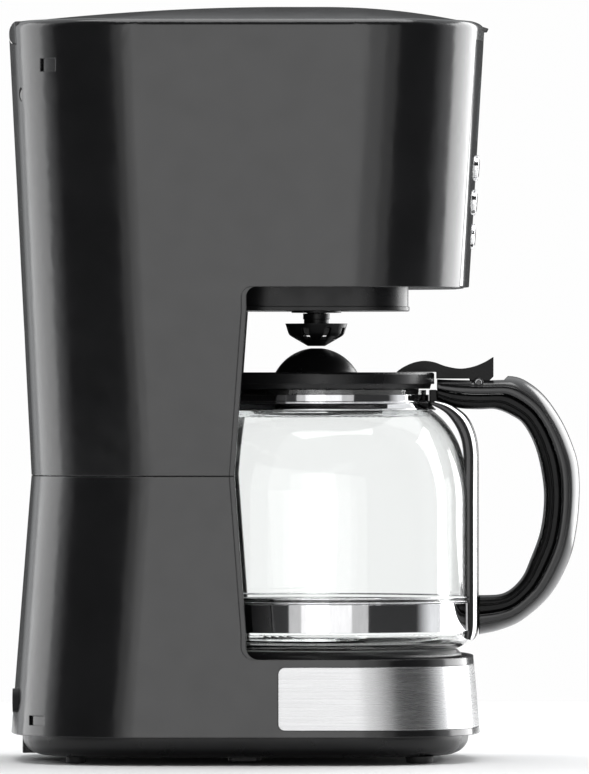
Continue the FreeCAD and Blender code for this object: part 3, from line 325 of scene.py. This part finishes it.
def plate_coating():
    """Dark non-stick coating with fine light flecks and circular wear."""
    surface = moulded("plate_coating", (0.018, 0.018, 0.019), 0.34, 900.0, 0.000006, 0.0005)
    flecks = surface.node("ShaderNodeTexVoronoi")
    flecks.inputs["Scale"].default_value = 900.0
    surface.link(surface.position(), flecks.inputs["Vector"])
    surface.tint(surface.spread(flecks.outputs["Distance"], 0.5, 0.0, 0.05, 0.16), (0.16, 0.16, 0.165))
    return surface.material


def clear_glass():
    """Blown glass: clear, with a slow ripple and faint dried water marks."""
    surface = Surface("glass", (0.985, 0.995, 0.99), 0.0)
    surface.shader.inputs["Transmission Weight"].default_value = 1.0
    surface.shader.inputs["IOR"].default_value = 1.47
    marks = surface.noise(140.0, 5.0)
    surface.link(surface.spread(marks, 0.0, 0.035, 0.60, 0.80), surface.shader.inputs["Roughness"])
    surface.bump(surface.noise(22.0, 2.0), 0.00003)
    return surface.material


def display_glass():
    surface = Surface("display_glass", (0.30, 0.33, 0.34), 0.05)
    surface.shader.inputs["Transmission Weight"].default_value = 0.85
    surface.shader.inputs["IOR"].default_value = 1.49
    surface.vary_roughness(surface.noise(120.0, 4.0), 0.03, 0.09)
    surface.bump(surface.noise(260.0, 2.0), 0.0000008)
    return surface.material


def button_black():
    surface = moulded("button_black", (0.011, 0.011, 0.012), 0.28, 1700.0, 0.000004, 0.0004)
    return surface.material


def rubber():
    surface = moulded("rubber", (0.012, 0.012, 0.012), 0.62, 1300.0, 0.00001, 0.0004, 1.45, (0.05, 0.05, 0.05))
    return surface.material


def silicone():
    surface = moulded("silicone", (0.70, 0.70, 0.66), 0.42, 700.0, 0.000008, 0.0004, 1.42, (0.8, 0.8, 0.78))
    surface.shader.inputs["Subsurface Weight"].default_value = 0.25
    surface.shader.inputs["Subsurface Radius"].default_value = (0.002, 0.002, 0.0018)
    return surface.material


def tank_plastic():
    """Milky polypropylene, let through by light."""
    surface = moulded("tank_plastic", (0.66, 0.69, 0.71), 0.36, 800.0, 0.000006, 0.0005, 1.49, (0.8, 0.82, 0.84))
    surface.shader.inputs["Transmission Weight"].default_value = 0.55
    return surface.material


def screw_steel():
    surface = metal("screw_steel", (0.58, 0.58, 0.59), 0.28, (1, 1, 1), 1400.0, 0.000004)
    return surface.material


def heater_aluminium():
    surface = metal("heater_aluminium", (0.72, 0.73, 0.74), 0.40, (0.06, 1, 1), 900.0, 0.000008)
    return surface.material


def mesh_nylon():
    surface = moulded("mesh_nylon", (0.50, 0.38, 0.16), 0.38, 2200.0, 0.000006, 0.0003, 1.5, (0.7, 0.6, 0.35))
    return surface.material


def circuit_board():
    """Green solder mask with raised copper tracks."""
    surface = moulded("circuit_board", (0.012, 0.085, 0.035), 0.30, 1200.0, 0.000004, 0.0002)
    tracks = surface.node("ShaderNodeTexBrick")
    tracks.inputs["Scale"].default_value = 60.0
    tracks.inputs["Mortar Size"].default_value = 0.03
    tracks.inputs["Color1"].default_value = (0, 0, 0, 1)
    tracks.inputs["Color2"].default_value = (0.1, 0.1, 0.1, 1)
    tracks.inputs["Mortar"].default_value = (1, 1, 1, 1)
    surface.link(surface.position(), tracks.inputs["Vector"])
    surface.tint(surface.spread(tracks.outputs["Fac"], 0.0, 0.6, 0.2, 0.9), (0.03, 0.20, 0.07))
    surface.bump(tracks.outputs["Fac"], 0.00003)
    return surface.material


def component_black():
    surface = moulded("component_black", (0.014, 0.014, 0.015), 0.42, 1500.0, 0.000008, 0.0003)
    return surface.material


def wire_sleeve():
    """Woven sleeve: two crossing waves."""
    surface = moulded("wire_sleeve", (0.02, 0.02, 0.022), 0.6, 900.0, 0.00001, 0.0003)
    for stretch in ((1, 1, 1), (-1, 1, 1)):
        weave = surface.node("ShaderNodeTexWave", bands_direction="DIAGONAL")
        weave.inputs["Scale"].default_value = 260.0
        surface.link(surface.position(stretch), weave.inputs["Vector"])
        surface.bump(weave.outputs["Fac"], 0.00006)
    return surface.material


MAKERS = {"black_gloss": black_gloss, "black_panel": black_panel, "black_matte": black_matte,
          "black_deep": black_deep, "brushed_steel": brushed_steel, "polished_steel": polished_steel,
          "plate_coating": plate_coating,
          "glass": clear_glass, "display_glass": display_glass, "button_black": button_black,
          "rubber": rubber, "silicone": silicone, "tank_plastic": tank_plastic, "screw_steel": screw_steel,
          "heater_aluminium": heater_aluminium, "mesh_nylon": mesh_nylon, "circuit_board": circuit_board,
          "component_black": component_black, "wire_sleeve": wire_sleeve}
MATERIALS = {slot: make() for slot, make in MAKERS.items()}


def dress_nodes():
    """Every CAD node takes the detailed material of its slot."""
    for part in frame["record"]["subparts"]:
        mesh = NODES[part["node"]].data
        mesh.materials.clear()
        mesh.materials.append(MATERIALS[part["material_slot"]])
        for face in mesh.polygons:
            face.material_index = 0


# ---- mesh helpers ----
def add_mesh(name, vertices, faces, slot, smooth=True):
    mesh = bpy.data.meshes.new(name)
    mesh.from_pydata(vertices, [], faces)
    mesh.materials.append(MATERIALS[slot])
    for face in mesh.polygons:
        face.use_smooth = smooth
    piece = bpy.data.objects.new(name, mesh)
    bpy.context.scene.collection.objects.link(piece)
    return piece


def loft_faces(stations, count):
    """Faces of a closed solid whose vertices are stations of count points each."""
    faces = []
    for i in range(stations - 1):
        for k in range(count):
            after = (k + 1) % count
            faces.append((i * count + k, i * count + after, (i + 1) * count + after, (i + 1) * count + k))
    faces.append(tuple(reversed(range(count))))
    faces.append(tuple((stations - 1) * count + k for k in range(count)))
    return faces


def lathe(profile, steps, centre):
    """Vertices and faces of a closed (radius, Z) profile turned about a vertical axis."""
    vertices = []
    faces = []
    count = len(profile)
    for i in range(steps):
        turn = 2 * math.pi * i / steps
        for radius, z in profile:
            vertices.append((centre[0] + radius * math.cos(turn), centre[1] + radius * math.sin(turn), z))
    for i in range(steps):
        following = (i + 1) % steps
        for k in range(count):
            after = (k + 1) % count
            faces.append((i * count + k, following * count + k, following * count + after, i * count + after))
    return vertices, faces


def ring_profile(radius, z, wire, sides=10):
    return [(radius + wire * math.cos(2 * math.pi * k / sides), z + wire * math.sin(2 * math.pi * k / sides))
            for k in range(sides)]


def tube_along(points, radius, sides=10):
    """Vertices and faces of a round tube through points, with flat ends."""
    path = [Vector(p) for p in points]
    vertices = []
    side = None
    for i, point in enumerate(path):
        ahead = (path[min(i + 1, len(path) - 1)] - path[max(i - 1, 0)]).normalized()
        if side is None:
            side = ahead.orthogonal().normalized()
        side = (side - ahead * side.dot(ahead)).normalized()
        up = ahead.cross(side)
        for k in range(sides):
            turn = 2 * math.pi * k / sides
            vertices.append(point + side * (radius * math.cos(turn)) + up * (radius * math.sin(turn)))
    return vertices, loft_faces(len(path), sides)


def joined(shapes):
    """One list of vertices and faces from several."""
    vertices = []
    faces = []
    for some_vertices, some_faces in shapes:
        start = len(vertices)
        vertices.extend(some_vertices)
        faces.extend(tuple(start + i for i in face) for face in some_faces)
    return vertices, faces


def slab(outline, near, far):
    """Flat plate from an outline in (Y, Z), between two depths along X."""
    count = len(outline)
    vertices = [(near, y, z) for y, z in outline] + [(far, y, z) for y, z in outline]
    faces = [tuple(reversed(range(count))), tuple(range(count, 2 * count))]
    for k in range(count):
        after = (k + 1) % count
        faces.append((k, after, count + after, count + k))
    return vertices, faces


# ---- filter and spring ----
FILTER_MESHES = 96              # meshes round the cloth
FILTER_ROWS = 44
FILTER_RIBS = 6
FILTER_FOOT_SHARE = 0.65        # radius of the cloth at its foot and top, as shares of the rim's
FILTER_TOP_SHARE = 0.945
RING_STEPS = 96


def filter_cloth():
    """Conical basket of fine cloth on moulded ribs, in place of the plain cone."""
    low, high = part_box("mesh_filter")
    centre = ((low.x + high.x) / 2, (low.y + high.y) / 2)
    rim_radius = (high.x - low.x) / 2
    foot_radius = rim_radius * FILTER_FOOT_SHARE
    top_radius = rim_radius * FILTER_TOP_SHARE
    floor = low.z + 0.8 * MM

    def wall_point(turn, share):
        radius = foot_radius + (top_radius - foot_radius) * share
        return Vector((centre[0] + radius * math.cos(turn), centre[1] + radius * math.sin(turn),
                       floor + (high.z - 1.5 * MM - floor) * share))

    vertices = []
    faces = []
    for row in range(FILTER_ROWS):
        for i in range(FILTER_MESHES):
            vertices.append(wall_point(2 * math.pi * i / FILTER_MESHES, row / (FILTER_ROWS - 1)))
    for row in range(FILTER_ROWS - 1):
        for i in range(FILTER_MESHES):
            after = (i + 1) % FILTER_MESHES
            faces.append((row * FILTER_MESHES + i, row * FILTER_MESHES + after,
                          (row + 1) * FILTER_MESHES + after, (row + 1) * FILTER_MESHES + i))
    cloth = add_mesh("filter_cloth", vertices, faces, "mesh_nylon")
    wires = cloth.modifiers.new("wires", "WIREFRAME")
    wires.thickness = 0.35 * MM
    wires.use_even_offset = False
    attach(cloth, "basket")
    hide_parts("mesh_filter")

    shapes = [lathe(ring_profile(top_radius, high.z - 1.2 * MM, 1.1 * MM), RING_STEPS, centre),
              lathe(ring_profile(rim_radius - 1.0 * MM, high.z - 0.9 * MM, 0.85 * MM), RING_STEPS, centre),
              lathe(ring_profile((foot_radius + top_radius) / 2, (floor + high.z) / 2, 0.8 * MM), RING_STEPS, centre),
              lathe(ring_profile(foot_radius, floor, 0.8 * MM), RING_STEPS, centre)]
    disc = [(0.4 * MM, low.z), (foot_radius, low.z), (foot_radius, floor), (0.4 * MM, floor)]
    shapes.append(lathe(disc, RING_STEPS, centre))
    for i in range(FILTER_RIBS):
        turn = 2 * math.pi * i / FILTER_RIBS
        shapes.append(tube_along([wall_point(turn, k / 8) for k in range(9)], 0.9 * MM, 8))
    frame_piece = add_mesh("filter_frame", *joined(shapes), "mesh_nylon")
    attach(frame_piece, "basket")
    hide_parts("mesh_filter")


SPRING_TURNS = 5
SPRING_STEPS = 30               # points on one turn
SPRING_WIRE = 0.45 * MM


def valve_coil():
    """The drip valve's spring as one helix with closed end turns."""
    low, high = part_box("valve_spring")
    centre = ((low.x + high.x) / 2, (low.y + high.y) / 2)
    radius = (high.x - low.x) / 2 - SPRING_WIRE
    count = SPRING_TURNS * SPRING_STEPS
    points = []
    for i in range(count + 1):
        share = i / count
        eased = min(max((share - 0.12) / 0.76, 0.0), 1.0)
        turn = 2 * math.pi * SPRING_TURNS * share
        points.append((centre[0] + radius * math.cos(turn), centre[1] + radius * math.sin(turn),
                       low.z + SPRING_WIRE + (high.z - low.z - 2 * SPRING_WIRE) * eased))
    coil = add_mesh("valve_coil", *tube_along(points, SPRING_WIRE, 10), "screw_steel")
    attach(coil, "drip_valve")
    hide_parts("valve_spring")


# ---- front panel: clock digits and marks on the buttons ----
PANEL_FOOT = (76.1 * MM, 132.0 * MM)     # X and Z of the front face's lower and upper edge
PANEL_HEAD = (88.7 * MM, 342.0 * MM)
PANEL_BULGE = 320.0 * MM
BUTTON_PLACES = ((-16.0, 274.8), (16.0, 274.8), (-16.0, 258.9), (16.0, 258.9), (0.0, 243.2))
BUTTON_FACE = 1.7 * MM
DIGIT_SIZE = (8.4 * MM, 15.0 * MM)
DIGIT_STROKE = 1.5 * MM
DIGIT_PITCH = 12.2 * MM
DIGIT_NEAR = -4.35 * MM         # depths of the digits behind the panel's face
DIGIT_FAR = -4.15 * MM
DIGIT_PLACES = (-1.62, -0.62, 0.62, 1.62)
COLON_Z = 3.0 * MM
COLON_RADIUS = 0.8 * MM
SEGMENTS = {"1": "bc", "2": "abged", "0": "abcdef"}


def on_panel(shape, y, z):
    """Places a shape made about the X axis onto the leaning front face."""
    run = PANEL_HEAD[0] - PANEL_FOOT[0]
    rise = PANEL_HEAD[1] - PANEL_FOOT[1]
    face_x = PANEL_FOOT[0] + run * (z - PANEL_FOOT[1]) / rise - y * y / (2 * PANEL_BULGE)
    place = Matrix.Translation((face_x, y, z)) @ Matrix.Rotation(math.atan2(run, rise), 4, "Y")
    vertices, faces = shape
    return [place @ Vector(v) for v in vertices], faces


def segment(kind, middle_y, middle_z):
    """Outline of one stroke of a seven-segment digit, with pointed ends."""
    half_w = DIGIT_SIZE[0] / 2
    half_h = DIGIT_SIZE[1] / 2
    half_s = DIGIT_STROKE / 2
    bars = {"a": half_h, "g": 0.0, "d": -half_h}
    if kind in bars:
        z = middle_z + bars[kind]
        inner = half_w - half_s - 0.2 * MM
        return [(middle_y - inner - half_s, z), (middle_y - inner, z - half_s), (middle_y + inner, z - half_s),
                (middle_y + inner + half_s, z), (middle_y + inner, z + half_s), (middle_y - inner, z + half_s)]
    y = middle_y + (half_w if kind in "bc" else -half_w)
    z = middle_z + (half_h / 2 if kind in "bf" else -half_h / 2)
    inner = half_h / 2 - half_s - 0.2 * MM
    return [(y, z - inner - half_s), (y + half_s, z - inner), (y + half_s, z + inner),
            (y, z + inner + half_s), (y - half_s, z + inner), (y - half_s, z - inner)]


def display_digits():
    """A plain clock reading on the display behind its window."""
    low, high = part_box("display_window")
    middle = (low.z + high.z) / 2
    shapes = []
    for place, digit in zip(DIGIT_PLACES, "1200"):
        for kind in SEGMENTS[digit]:
            shapes.append(slab(segment(kind, place * DIGIT_PITCH, 0.0), DIGIT_NEAR, DIGIT_FAR))
    for z in (-COLON_Z, COLON_Z):
        turns = [math.radians(i * 30) for i in range(12)]
        dot = [(COLON_RADIUS * math.cos(turn), z + COLON_RADIUS * math.sin(turn)) for turn in turns]
        shapes.append(slab(dot, DIGIT_NEAR, DIGIT_FAR))
    digits = add_mesh("display_digits", *on_panel(joined(shapes), 0.0, middle), "component_black", False)
    digits.data.materials.clear()
    digits.data.materials.append(DIGIT_INK)
    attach(digits, "machine")


def stroke(points, width):
    """Bar of a printed mark between two (Y, Z) points."""
    (y0, z0), (y1, z1) = points
    along = Vector((y1 - y0, z1 - z0)).normalized()
    across = Vector((-along.y, along.x)) * (width / 2)
    outline = [(y0 + across.x, z0 + across.y), (y0 - across.x, z0 - across.y),
               (y1 - across.x, z1 - across.y), (y1 + across.x, z1 + across.y)]
    return slab(outline, BUTTON_FACE - 0.02 * MM, BUTTON_FACE + 0.04 * MM)


def arc_strokes(radius, start, end, width, steps=28):
    """Curved mark made of short bars that meet end to end."""
    turns = [math.radians(start + (end - start) * i / steps) for i in range(steps + 1)]
    points = [(radius * math.cos(t), radius * math.sin(t)) for t in turns]
    return [stroke((points[i], points[i + 1]), width) for i in range(steps)]


def button_marks():
    """Generic printed marks: minus, plus, a clock face, a cup and a standby sign."""
    line = 0.4 * MM
    reach = 1.9 * MM
    marks = {
        1: [stroke(((-reach, 0), (reach, 0)), line)],
        2: [stroke(((-reach, 0), (reach, 0)), line), stroke(((0, -reach), (0, reach)), line)],
        3: arc_strokes(reach, 0, 360, line) + [stroke(((0, 0), (0, reach * 0.65)), line),
                                               stroke(((0, 0), (reach * 0.5, 0)), line)],
        4: arc_strokes(reach * 0.8, 180, 360, line) + [stroke(((-reach * 0.8, 0), (reach * 0.8, 0)), line),
                                                       stroke(((-reach, -reach), (reach, -reach)), line)],
        5: arc_strokes(reach * 0.9, -235, 55, line) + [stroke(((0, reach * 0.2), (0, reach * 1.25)), line)],
    }
    for number, (y, z) in enumerate(BUTTON_PLACES, 1):
        shape = on_panel(joined(marks[number]), y * MM, z * MM)
        mark = add_mesh(f"button_mark_{number}", *shape, "button_black", False)
        mark.data.materials.clear()
        mark.data.materials.append(PRINT_INK)
        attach(mark, f"button_{number}")


def ink(name, color, glow):
    """Matt printed colour, or a lit one where glow is over 0."""
    surface = Surface(name, color, 0.5)
    surface.tint(surface.spread(surface.noise(1800.0, 3.0), 0.0, 0.25), tuple(c * 0.7 for c in color))
    surface.bump(surface.noise(3000.0, 2.0), 0.000003)
    surface.shader.inputs["Emission Color"].default_value = (*color, 1)
    surface.shader.inputs["Emission Strength"].default_value = glow
    return surface.material


DIGIT_INK = ink("display_ink", (0.62, 0.80, 0.86), 0.6)
PRINT_INK = ink("print_ink", (0.62, 0.62, 0.62), 0.0)


# ---- floor ----
FLOOR_RADIUS = 0.9
FLOOR_TOP = -0.0005
FLOOR_FOOT = -0.02


def make_floor():
    """Round pale table top under the object."""
    surface = Surface("floor_paint", (0.86, 0.86, 0.86), 0.6)
    surface.tint(surface.spread(surface.noise(14.0, 4.0), 0.0, 0.3), (0.82, 0.82, 0.825))
    surface.bump(surface.noise(400.0, 3.0), 0.00002)
    rim = [(0.0, FLOOR_FOOT), (FLOOR_RADIUS, FLOOR_FOOT), (FLOOR_RADIUS, FLOOR_TOP), (0.0, FLOOR_TOP)]
    vertices, faces = lathe(rim, 128, (0.0, 0.0))
    mesh = bpy.data.meshes.new("floor")
    mesh.from_pydata(vertices, [], faces)
    mesh.materials.append(surface.material)
    floor = bpy.data.objects.new("floor", mesh)
    bpy.context.scene.collection.objects.link(floor)


# ---- carafe trim: handle, strap, lever and rings ----
# Side view curves of the handle in (X, Z) millimetres, from the lid end to the foot end.
HANDLE_OUTER = [(102.5, 177.9), (110.3, 174.4), (117.5, 167.9), (124.6, 157.4), (129.8, 145.7), (132.4, 135.9),
                (132.95, 122.8), (131.6, 107.0), (128.1, 92.3), (119.5, 76.3), (106.7, 64.6), (96.0, 59.8),
                (86.1, 57.6)]
HANDLE_INNER = [(94.0, 162.6), (101.5, 159.6), (107.0, 155.4), (112.2, 145.7), (115.5, 132.6), (116.5, 119.6),
                (114.6, 105.0), (110.0, 92.3), (106.7, 84.9), (101.8, 79.3), (96.0, 76.3), (86.1, 75.8)]
ROOT_OUTER = [(66.6, 177.9), (78.0, 177.9), (90.0, 177.9)]
ROOT_INNER = [(66.6, 167.0), (72.0, 164.4), (78.0, 163.0), (86.0, 162.6)]
GRIP_STATIONS = 110
CURVE_STEPS = 24                # points between two given points of a curve
# Cross-section of the handle: share of its depth from the inner side, and half its width.
INSERT_SECTION = [(0.0, 5.6), (0.008, 8.0), (0.035, 9.9), (0.08, 11.0), (0.14, 11.5), (0.20, 11.6), (0.225, 11.0),
                  (0.245, 11.0), (0.27, 11.6), (0.39, 11.5), (0.43, 11.0), (0.452, 10.2)]
SHELL_SECTION = [(0.456, 10.4), (0.462, 11.6), (0.48, 12.5), (0.52, 12.95), (0.56, 13.0), (0.66, 12.9),
                 (0.695, 12.6), (0.71, 11.9), (0.73, 11.9), (0.75, 12.1), (0.785, 11.5), (0.83, 10.3), (0.88, 8.5),
                 (0.93, 6.1), (0.965, 4.0), (0.99, 2.0), (1.0, 0.7)]
# Room for the thumb lever, cut out of the handle.
SLOT_OUTLINE = [(60.0, 170.8), (92.6, 170.8), (99.8, 178.4), (99.8, 190.0), (60.0, 190.0)]
SLOT_HALF = 8.4
# Glass outside the shoulder, as (Z, radius).
GLASS_SIDE = [(54.0, 69.4), (58.5, 71.5), (120.0, 71.5), (128.0, 71.0), (136.5, 69.6), (144.3, 67.2),
              (150.8, 64.3), (157.35, 59.4), (162.7, 53.1)]
STRAP_OUTSIDE = [(66.0, 166.6), (71.5, 165.4), (76.0, 163.1), (80.5, 159.3), (83.6, 153.6), (85.5, 146.0),
                 (85.9, 137.0), (85.9, 120.0), (85.9, 100.0), (85.9, 80.0), (85.9, 68.0), (85.8, 61.0), (84.8, 57.0),
                 (83.2, 55.2)]
STRAP_INSIDE = [(62.8, 165.2), (67.8, 162.8), (71.6, 159.9), (75.5, 154.5), (77.9, 148.6), (78.9, 142.0),
                (78.9, 135.0), (78.6, 120.0), (78.6, 100.0), (78.6, 80.0), (78.6, 68.0), (78.5, 61.0), (78.6, 57.5),
                (79.4, 55.8)]
# Layers of the strap: share of its depth from the glass side, half its width and its slot.
STRAP_LAYERS = [("strap_body", 0.0, 1.0, 13.0, "black_deep"), ("strap_rib", 0.14, 0.42, 13.35, "black_gloss"),
                ("strap_line", 0.62, 0.85, 13.25, "polished_steel")]
STRAP_STATIONS = 90
STRAP_ACROSS = 12
STRAP_GAP = 0.35                # between the strap and the glass
STRAP_ROUNDING = 0.9
BRACKET_OUTLINE = [(62.9, 171.7), (66.3, 171.7), (66.6, 167.4), (72.0, 165.2), (70.0, 162.2), (66.0, 163.9),
                   (62.9, 165.6)]
BRACKET_HALF = 10
LEVER_TOP = [(47.7, 180.1), (50.5, 182.1), (55.0, 184.2), (60.0, 185.2), (65.0, 184.6), (70.5, 182.7),
             (77.0, 181.6), (83.0, 182.4), (88.5, 184.5), (92.7, 187.0)]
LEVER_UNDER = [(92.7, 177.9), (89.4, 174.6), (87.6, 171.8), (83.8, 171.8), (81.6, 176.9), (66.2, 176.9),
               (66.2, 180.0), (47.9, 179.9)]
LEVER_STATIONS = 46
LEVER_HALF = 8.0
PIVOT = (85.7, 175.1)
PIVOT_CAP_RADIUS = 1.25
PIVOT_CAP_ENDS = (11.5, 12.5, 13.4)
PIVOT_RING_RADIUS = 1.9
PIVOT_RING_Y = 12.95
RAIL_X = (68.5, 73, 78, 82.4)
RAIL_Y = 12.75
RAIL_Z = 174.9
BEAD_WIRE = 0.42
BEAD_PLACES = [(72.0, 75.3), (72.0, 73.4), (52.9, 166.1), (55.3, 162.6)]      # radius and Z of each bead


def smooth(points, count):
    """Evenly spaced points on a Catmull-Rom curve through 2-D points."""
    dense = []
    for i in range(len(points) - 1):
        a, b, c, d = (Vector(points[min(max(i + k, 0), len(points) - 1)]) for k in (-1, 0, 1, 2))
        for k in range(CURVE_STEPS):
            t = k / CURVE_STEPS
            dense.append(0.5 * (2 * b + (c - a) * t + (2 * a - 5 * b + 4 * c - d) * t * t
                                + (3 * b - a - 3 * c + d) * t ** 3))
    dense.append(Vector(points[-1]))
    return spaced(dense, count)


def spaced(points, count):
    """Points at equal distances along straight runs."""
    path = [Vector(p) for p in points]
    lengths = [0.0]
    for a, b in zip(path, path[1:]):
        lengths.append(lengths[-1] + (b - a).length)
    result = []
    k = 0
    for i in range(count):
        target = lengths[-1] * i / (count - 1)
        while k < len(path) - 2 and lengths[k + 1] < target:
            k += 1
        share = (target - lengths[k]) / (lengths[k + 1] - lengths[k])
        result.append(path[k].lerp(path[k + 1], min(max(share, 0.0), 1.0)))
    return result


def table_value(points, at):
    """Value of a table of (place, value) at a place, straight between its rows."""
    rows = sorted(points)
    for (a, low), (b, high) in zip(rows, rows[1:]):
        if at <= b:
            return low + (high - low) * max(at - a, 0.0) / (b - a)
    return rows[-1][1]


def sweep_section(outer, inner, section):
    """Solid through stations: each is the section between the inner and the outer curve."""
    loop = [(share, half) for share, half in section] + [(share, -half) for share, half in reversed(section)]
    vertices = []
    for near, far in zip(inner, outer):
        for share, half in loop:
            at = near.lerp(far, share)
            vertices.append((at.x * MM, half * MM, at.y * MM))
    return vertices, loft_faces(len(outer), len(loop))


def side_plate(outline, half):
    """Plate from a side view outline in (X, Z) millimetres, between two planes of equal and opposite Y."""
    count = len(outline)
    vertices = [(x * MM, -half * MM, z * MM) for x, z in outline]
    vertices += [(x * MM, half * MM, z * MM) for x, z in outline]
    faces = [tuple(range(count)), tuple(reversed(range(count, 2 * count)))]
    for k in range(count):
        after = (k + 1) % count
        faces.append((k, count + k, count + after, after))
    return vertices, faces


def face_outwards(piece):
    """Turns every face of a closed mesh to look outwards."""
    shape = bmesh.new()
    shape.from_mesh(piece.data)
    bmesh.ops.recalc_face_normals(shape, faces=shape.faces)
    shape.to_mesh(piece.data)
    shape.free()


def cut_away(piece, cutter_shape):
    """Takes a closed shape out of a piece for good."""
    cutter = add_mesh("cutter", *cutter_shape, "black_matte", False)
    face_outwards(cutter)
    face_outwards(piece)
    change = piece.modifiers.new("cut", "BOOLEAN")
    change.operation = "DIFFERENCE"
    change.solver = "EXACT"
    change.object = cutter
    depsgraph = bpy.context.evaluated_depsgraph_get()
    finished = bpy.data.meshes.new_from_object(piece.evaluated_get(depsgraph))
    piece.modifiers.clear()
    piece.data = finished
    bpy.data.objects.remove(cutter)


def crease_by_angle(piece, angle):
    """Smooth shading except over sharp edges."""
    for face in piece.data.polygons:
        face.use_smooth = True
    piece.data.set_sharp_from_angle(angle=math.radians(angle))


def handle_grip():
    """Grooved outer shell and inner insert of the carafe's handle."""
    outer = smooth(ROOT_OUTER + HANDLE_OUTER, GRIP_STATIONS)
    inner = smooth(ROOT_INNER + HANDLE_INNER, GRIP_STATIONS)
    for name, section, node, slot in (("handle_grip_shell", SHELL_SECTION, "handle_shell", "black_gloss"),
                                      ("handle_grip_insert", INSERT_SECTION, "handle_insert", "black_deep")):
        piece = add_mesh(name, *sweep_section(outer, inner, section), slot)
        cut_away(piece, side_plate(SLOT_OUTLINE, SLOT_HALF))
        crease_by_angle(piece, 32)
        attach(piece, "carafe")
        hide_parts(node)


def strap_layer(name, share_from, share_to, half, slot):
    """One layer of the strap, which lies against the glass where it starts at the glass side."""
    axis_x = (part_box("carafe_glass")[0].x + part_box("carafe_glass")[1].x) / 2 / MM
    outside = smooth(STRAP_OUTSIDE, STRAP_STATIONS)
    inside = smooth(STRAP_INSIDE, STRAP_STATIONS)
    vertices = []
    for near, far in zip(inside, outside):
        front = near.lerp(far, share_from)
        back = near.lerp(far, share_to)
        front_line = []
        back_line = []
        for k in range(STRAP_ACROSS + 1):
            y = half * (2 * k / STRAP_ACROSS - 1)
            rounding = STRAP_ROUNDING * abs(y / half) ** 6 if share_to == 1 else 0.0
            glass = axis_x + math.sqrt((table_value(GLASS_SIDE, front.y) + STRAP_GAP) ** 2 - y ** 2)
            front_line.append((max(front.x, glass) if share_from == 0 else front.x, y, front.y))
            back_line.append((back.x - rounding, y, back.y))
        vertices.extend(front_line + back_line[::-1])
    faces = loft_faces(STRAP_STATIONS, 2 * (STRAP_ACROSS + 1))
    piece = add_mesh(name, [(x * MM, y * MM, z * MM) for x, y, z in vertices], faces, slot)
    face_outwards(piece)
    crease_by_angle(piece, 35)
    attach(piece, "carafe")
    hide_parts("handle_strap")


def strap():
    """Layered strap behind the glass, and the bracket that holds it at the neck."""
    for layer in STRAP_LAYERS:
        strap_layer(*layer)
    piece = add_mesh("strap_bracket", *side_plate(BRACKET_OUTLINE, BRACKET_HALF), "black_deep", False)
    face_outwards(piece)
    edge = piece.modifiers.new("edge", "BEVEL")
    edge.width = 0.5 * MM
    edge.segments = 3
    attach(piece, "carafe")
    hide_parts("handle_strap")


def lever():
    """Thumb lever with a smooth crest and a raised tip."""
    outline = [(p.x, p.y) for p in smooth(LEVER_TOP, LEVER_STATIONS)] + LEVER_UNDER
    piece = add_mesh("lever_pad", *side_plate(outline, LEVER_HALF), "black_deep", False)
    face_outwards(piece)
    edge = piece.modifiers.new("edge", "BEVEL")
    edge.width = 0.9 * MM
    edge.segments = 3
    edge.limit_method = "ANGLE"
    edge.angle_limit = math.radians(40)
    crease_by_angle(piece, 30)
    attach(piece, "carafe_top")
    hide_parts("thumb_lever")


def pivot_and_rails():
    """Round caps over the ends of the pivot pin, and the slim rails beside the lever."""
    x, z = PIVOT
    shapes = []
    for side in (-1, 1):
        cap = [(x * MM, side * y * MM, z * MM) for y in PIVOT_CAP_ENDS]
        shapes.append(tube_along(cap, PIVOT_CAP_RADIUS * MM, 24))
        ring = [((x + PIVOT_RING_RADIUS * math.cos(turn / 16 * math.pi)) * MM, side * PIVOT_RING_Y * MM,
                 (z + PIVOT_RING_RADIUS * math.sin(turn / 16 * math.pi)) * MM) for turn in range(33)]
        shapes.append(tube_along(ring, 0.35 * MM, 8))
        rail = [(rail_x * MM, side * RAIL_Y * MM, RAIL_Z * MM) for rail_x in RAIL_X]
        shapes.append(tube_along(rail, 0.7 * MM, 10))
    piece = add_mesh("handle_pivot_trim", *joined(shapes), "black_gloss")
    crease_by_angle(piece, 45)
    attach(piece, "carafe")


def carafe_rings():
    """Bright beads round the glass: two over the lower band and two at the neck."""
    low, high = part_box("carafe_glass")
    centre = ((low.x + high.x) / 2, (low.y + high.y) / 2)
    rings = [lathe(ring_profile(radius * MM, z * MM, BEAD_WIRE * MM, 12), 160, centre)
             for radius, z in BEAD_PLACES]
    piece = add_mesh("carafe_beads", *joined(rings), "polished_steel")
    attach(piece, "carafe")


# ---- make it ----
make_camera()
make_lights()
make_world()
bpy.context.scene.view_settings.view_transform = "Standard"
dress_nodes()
filter_cloth()
valve_coil()
display_digits()
button_marks()
handle_grip()
strap()
lever()
pivot_and_rails()
carafe_rings()
make_floor()
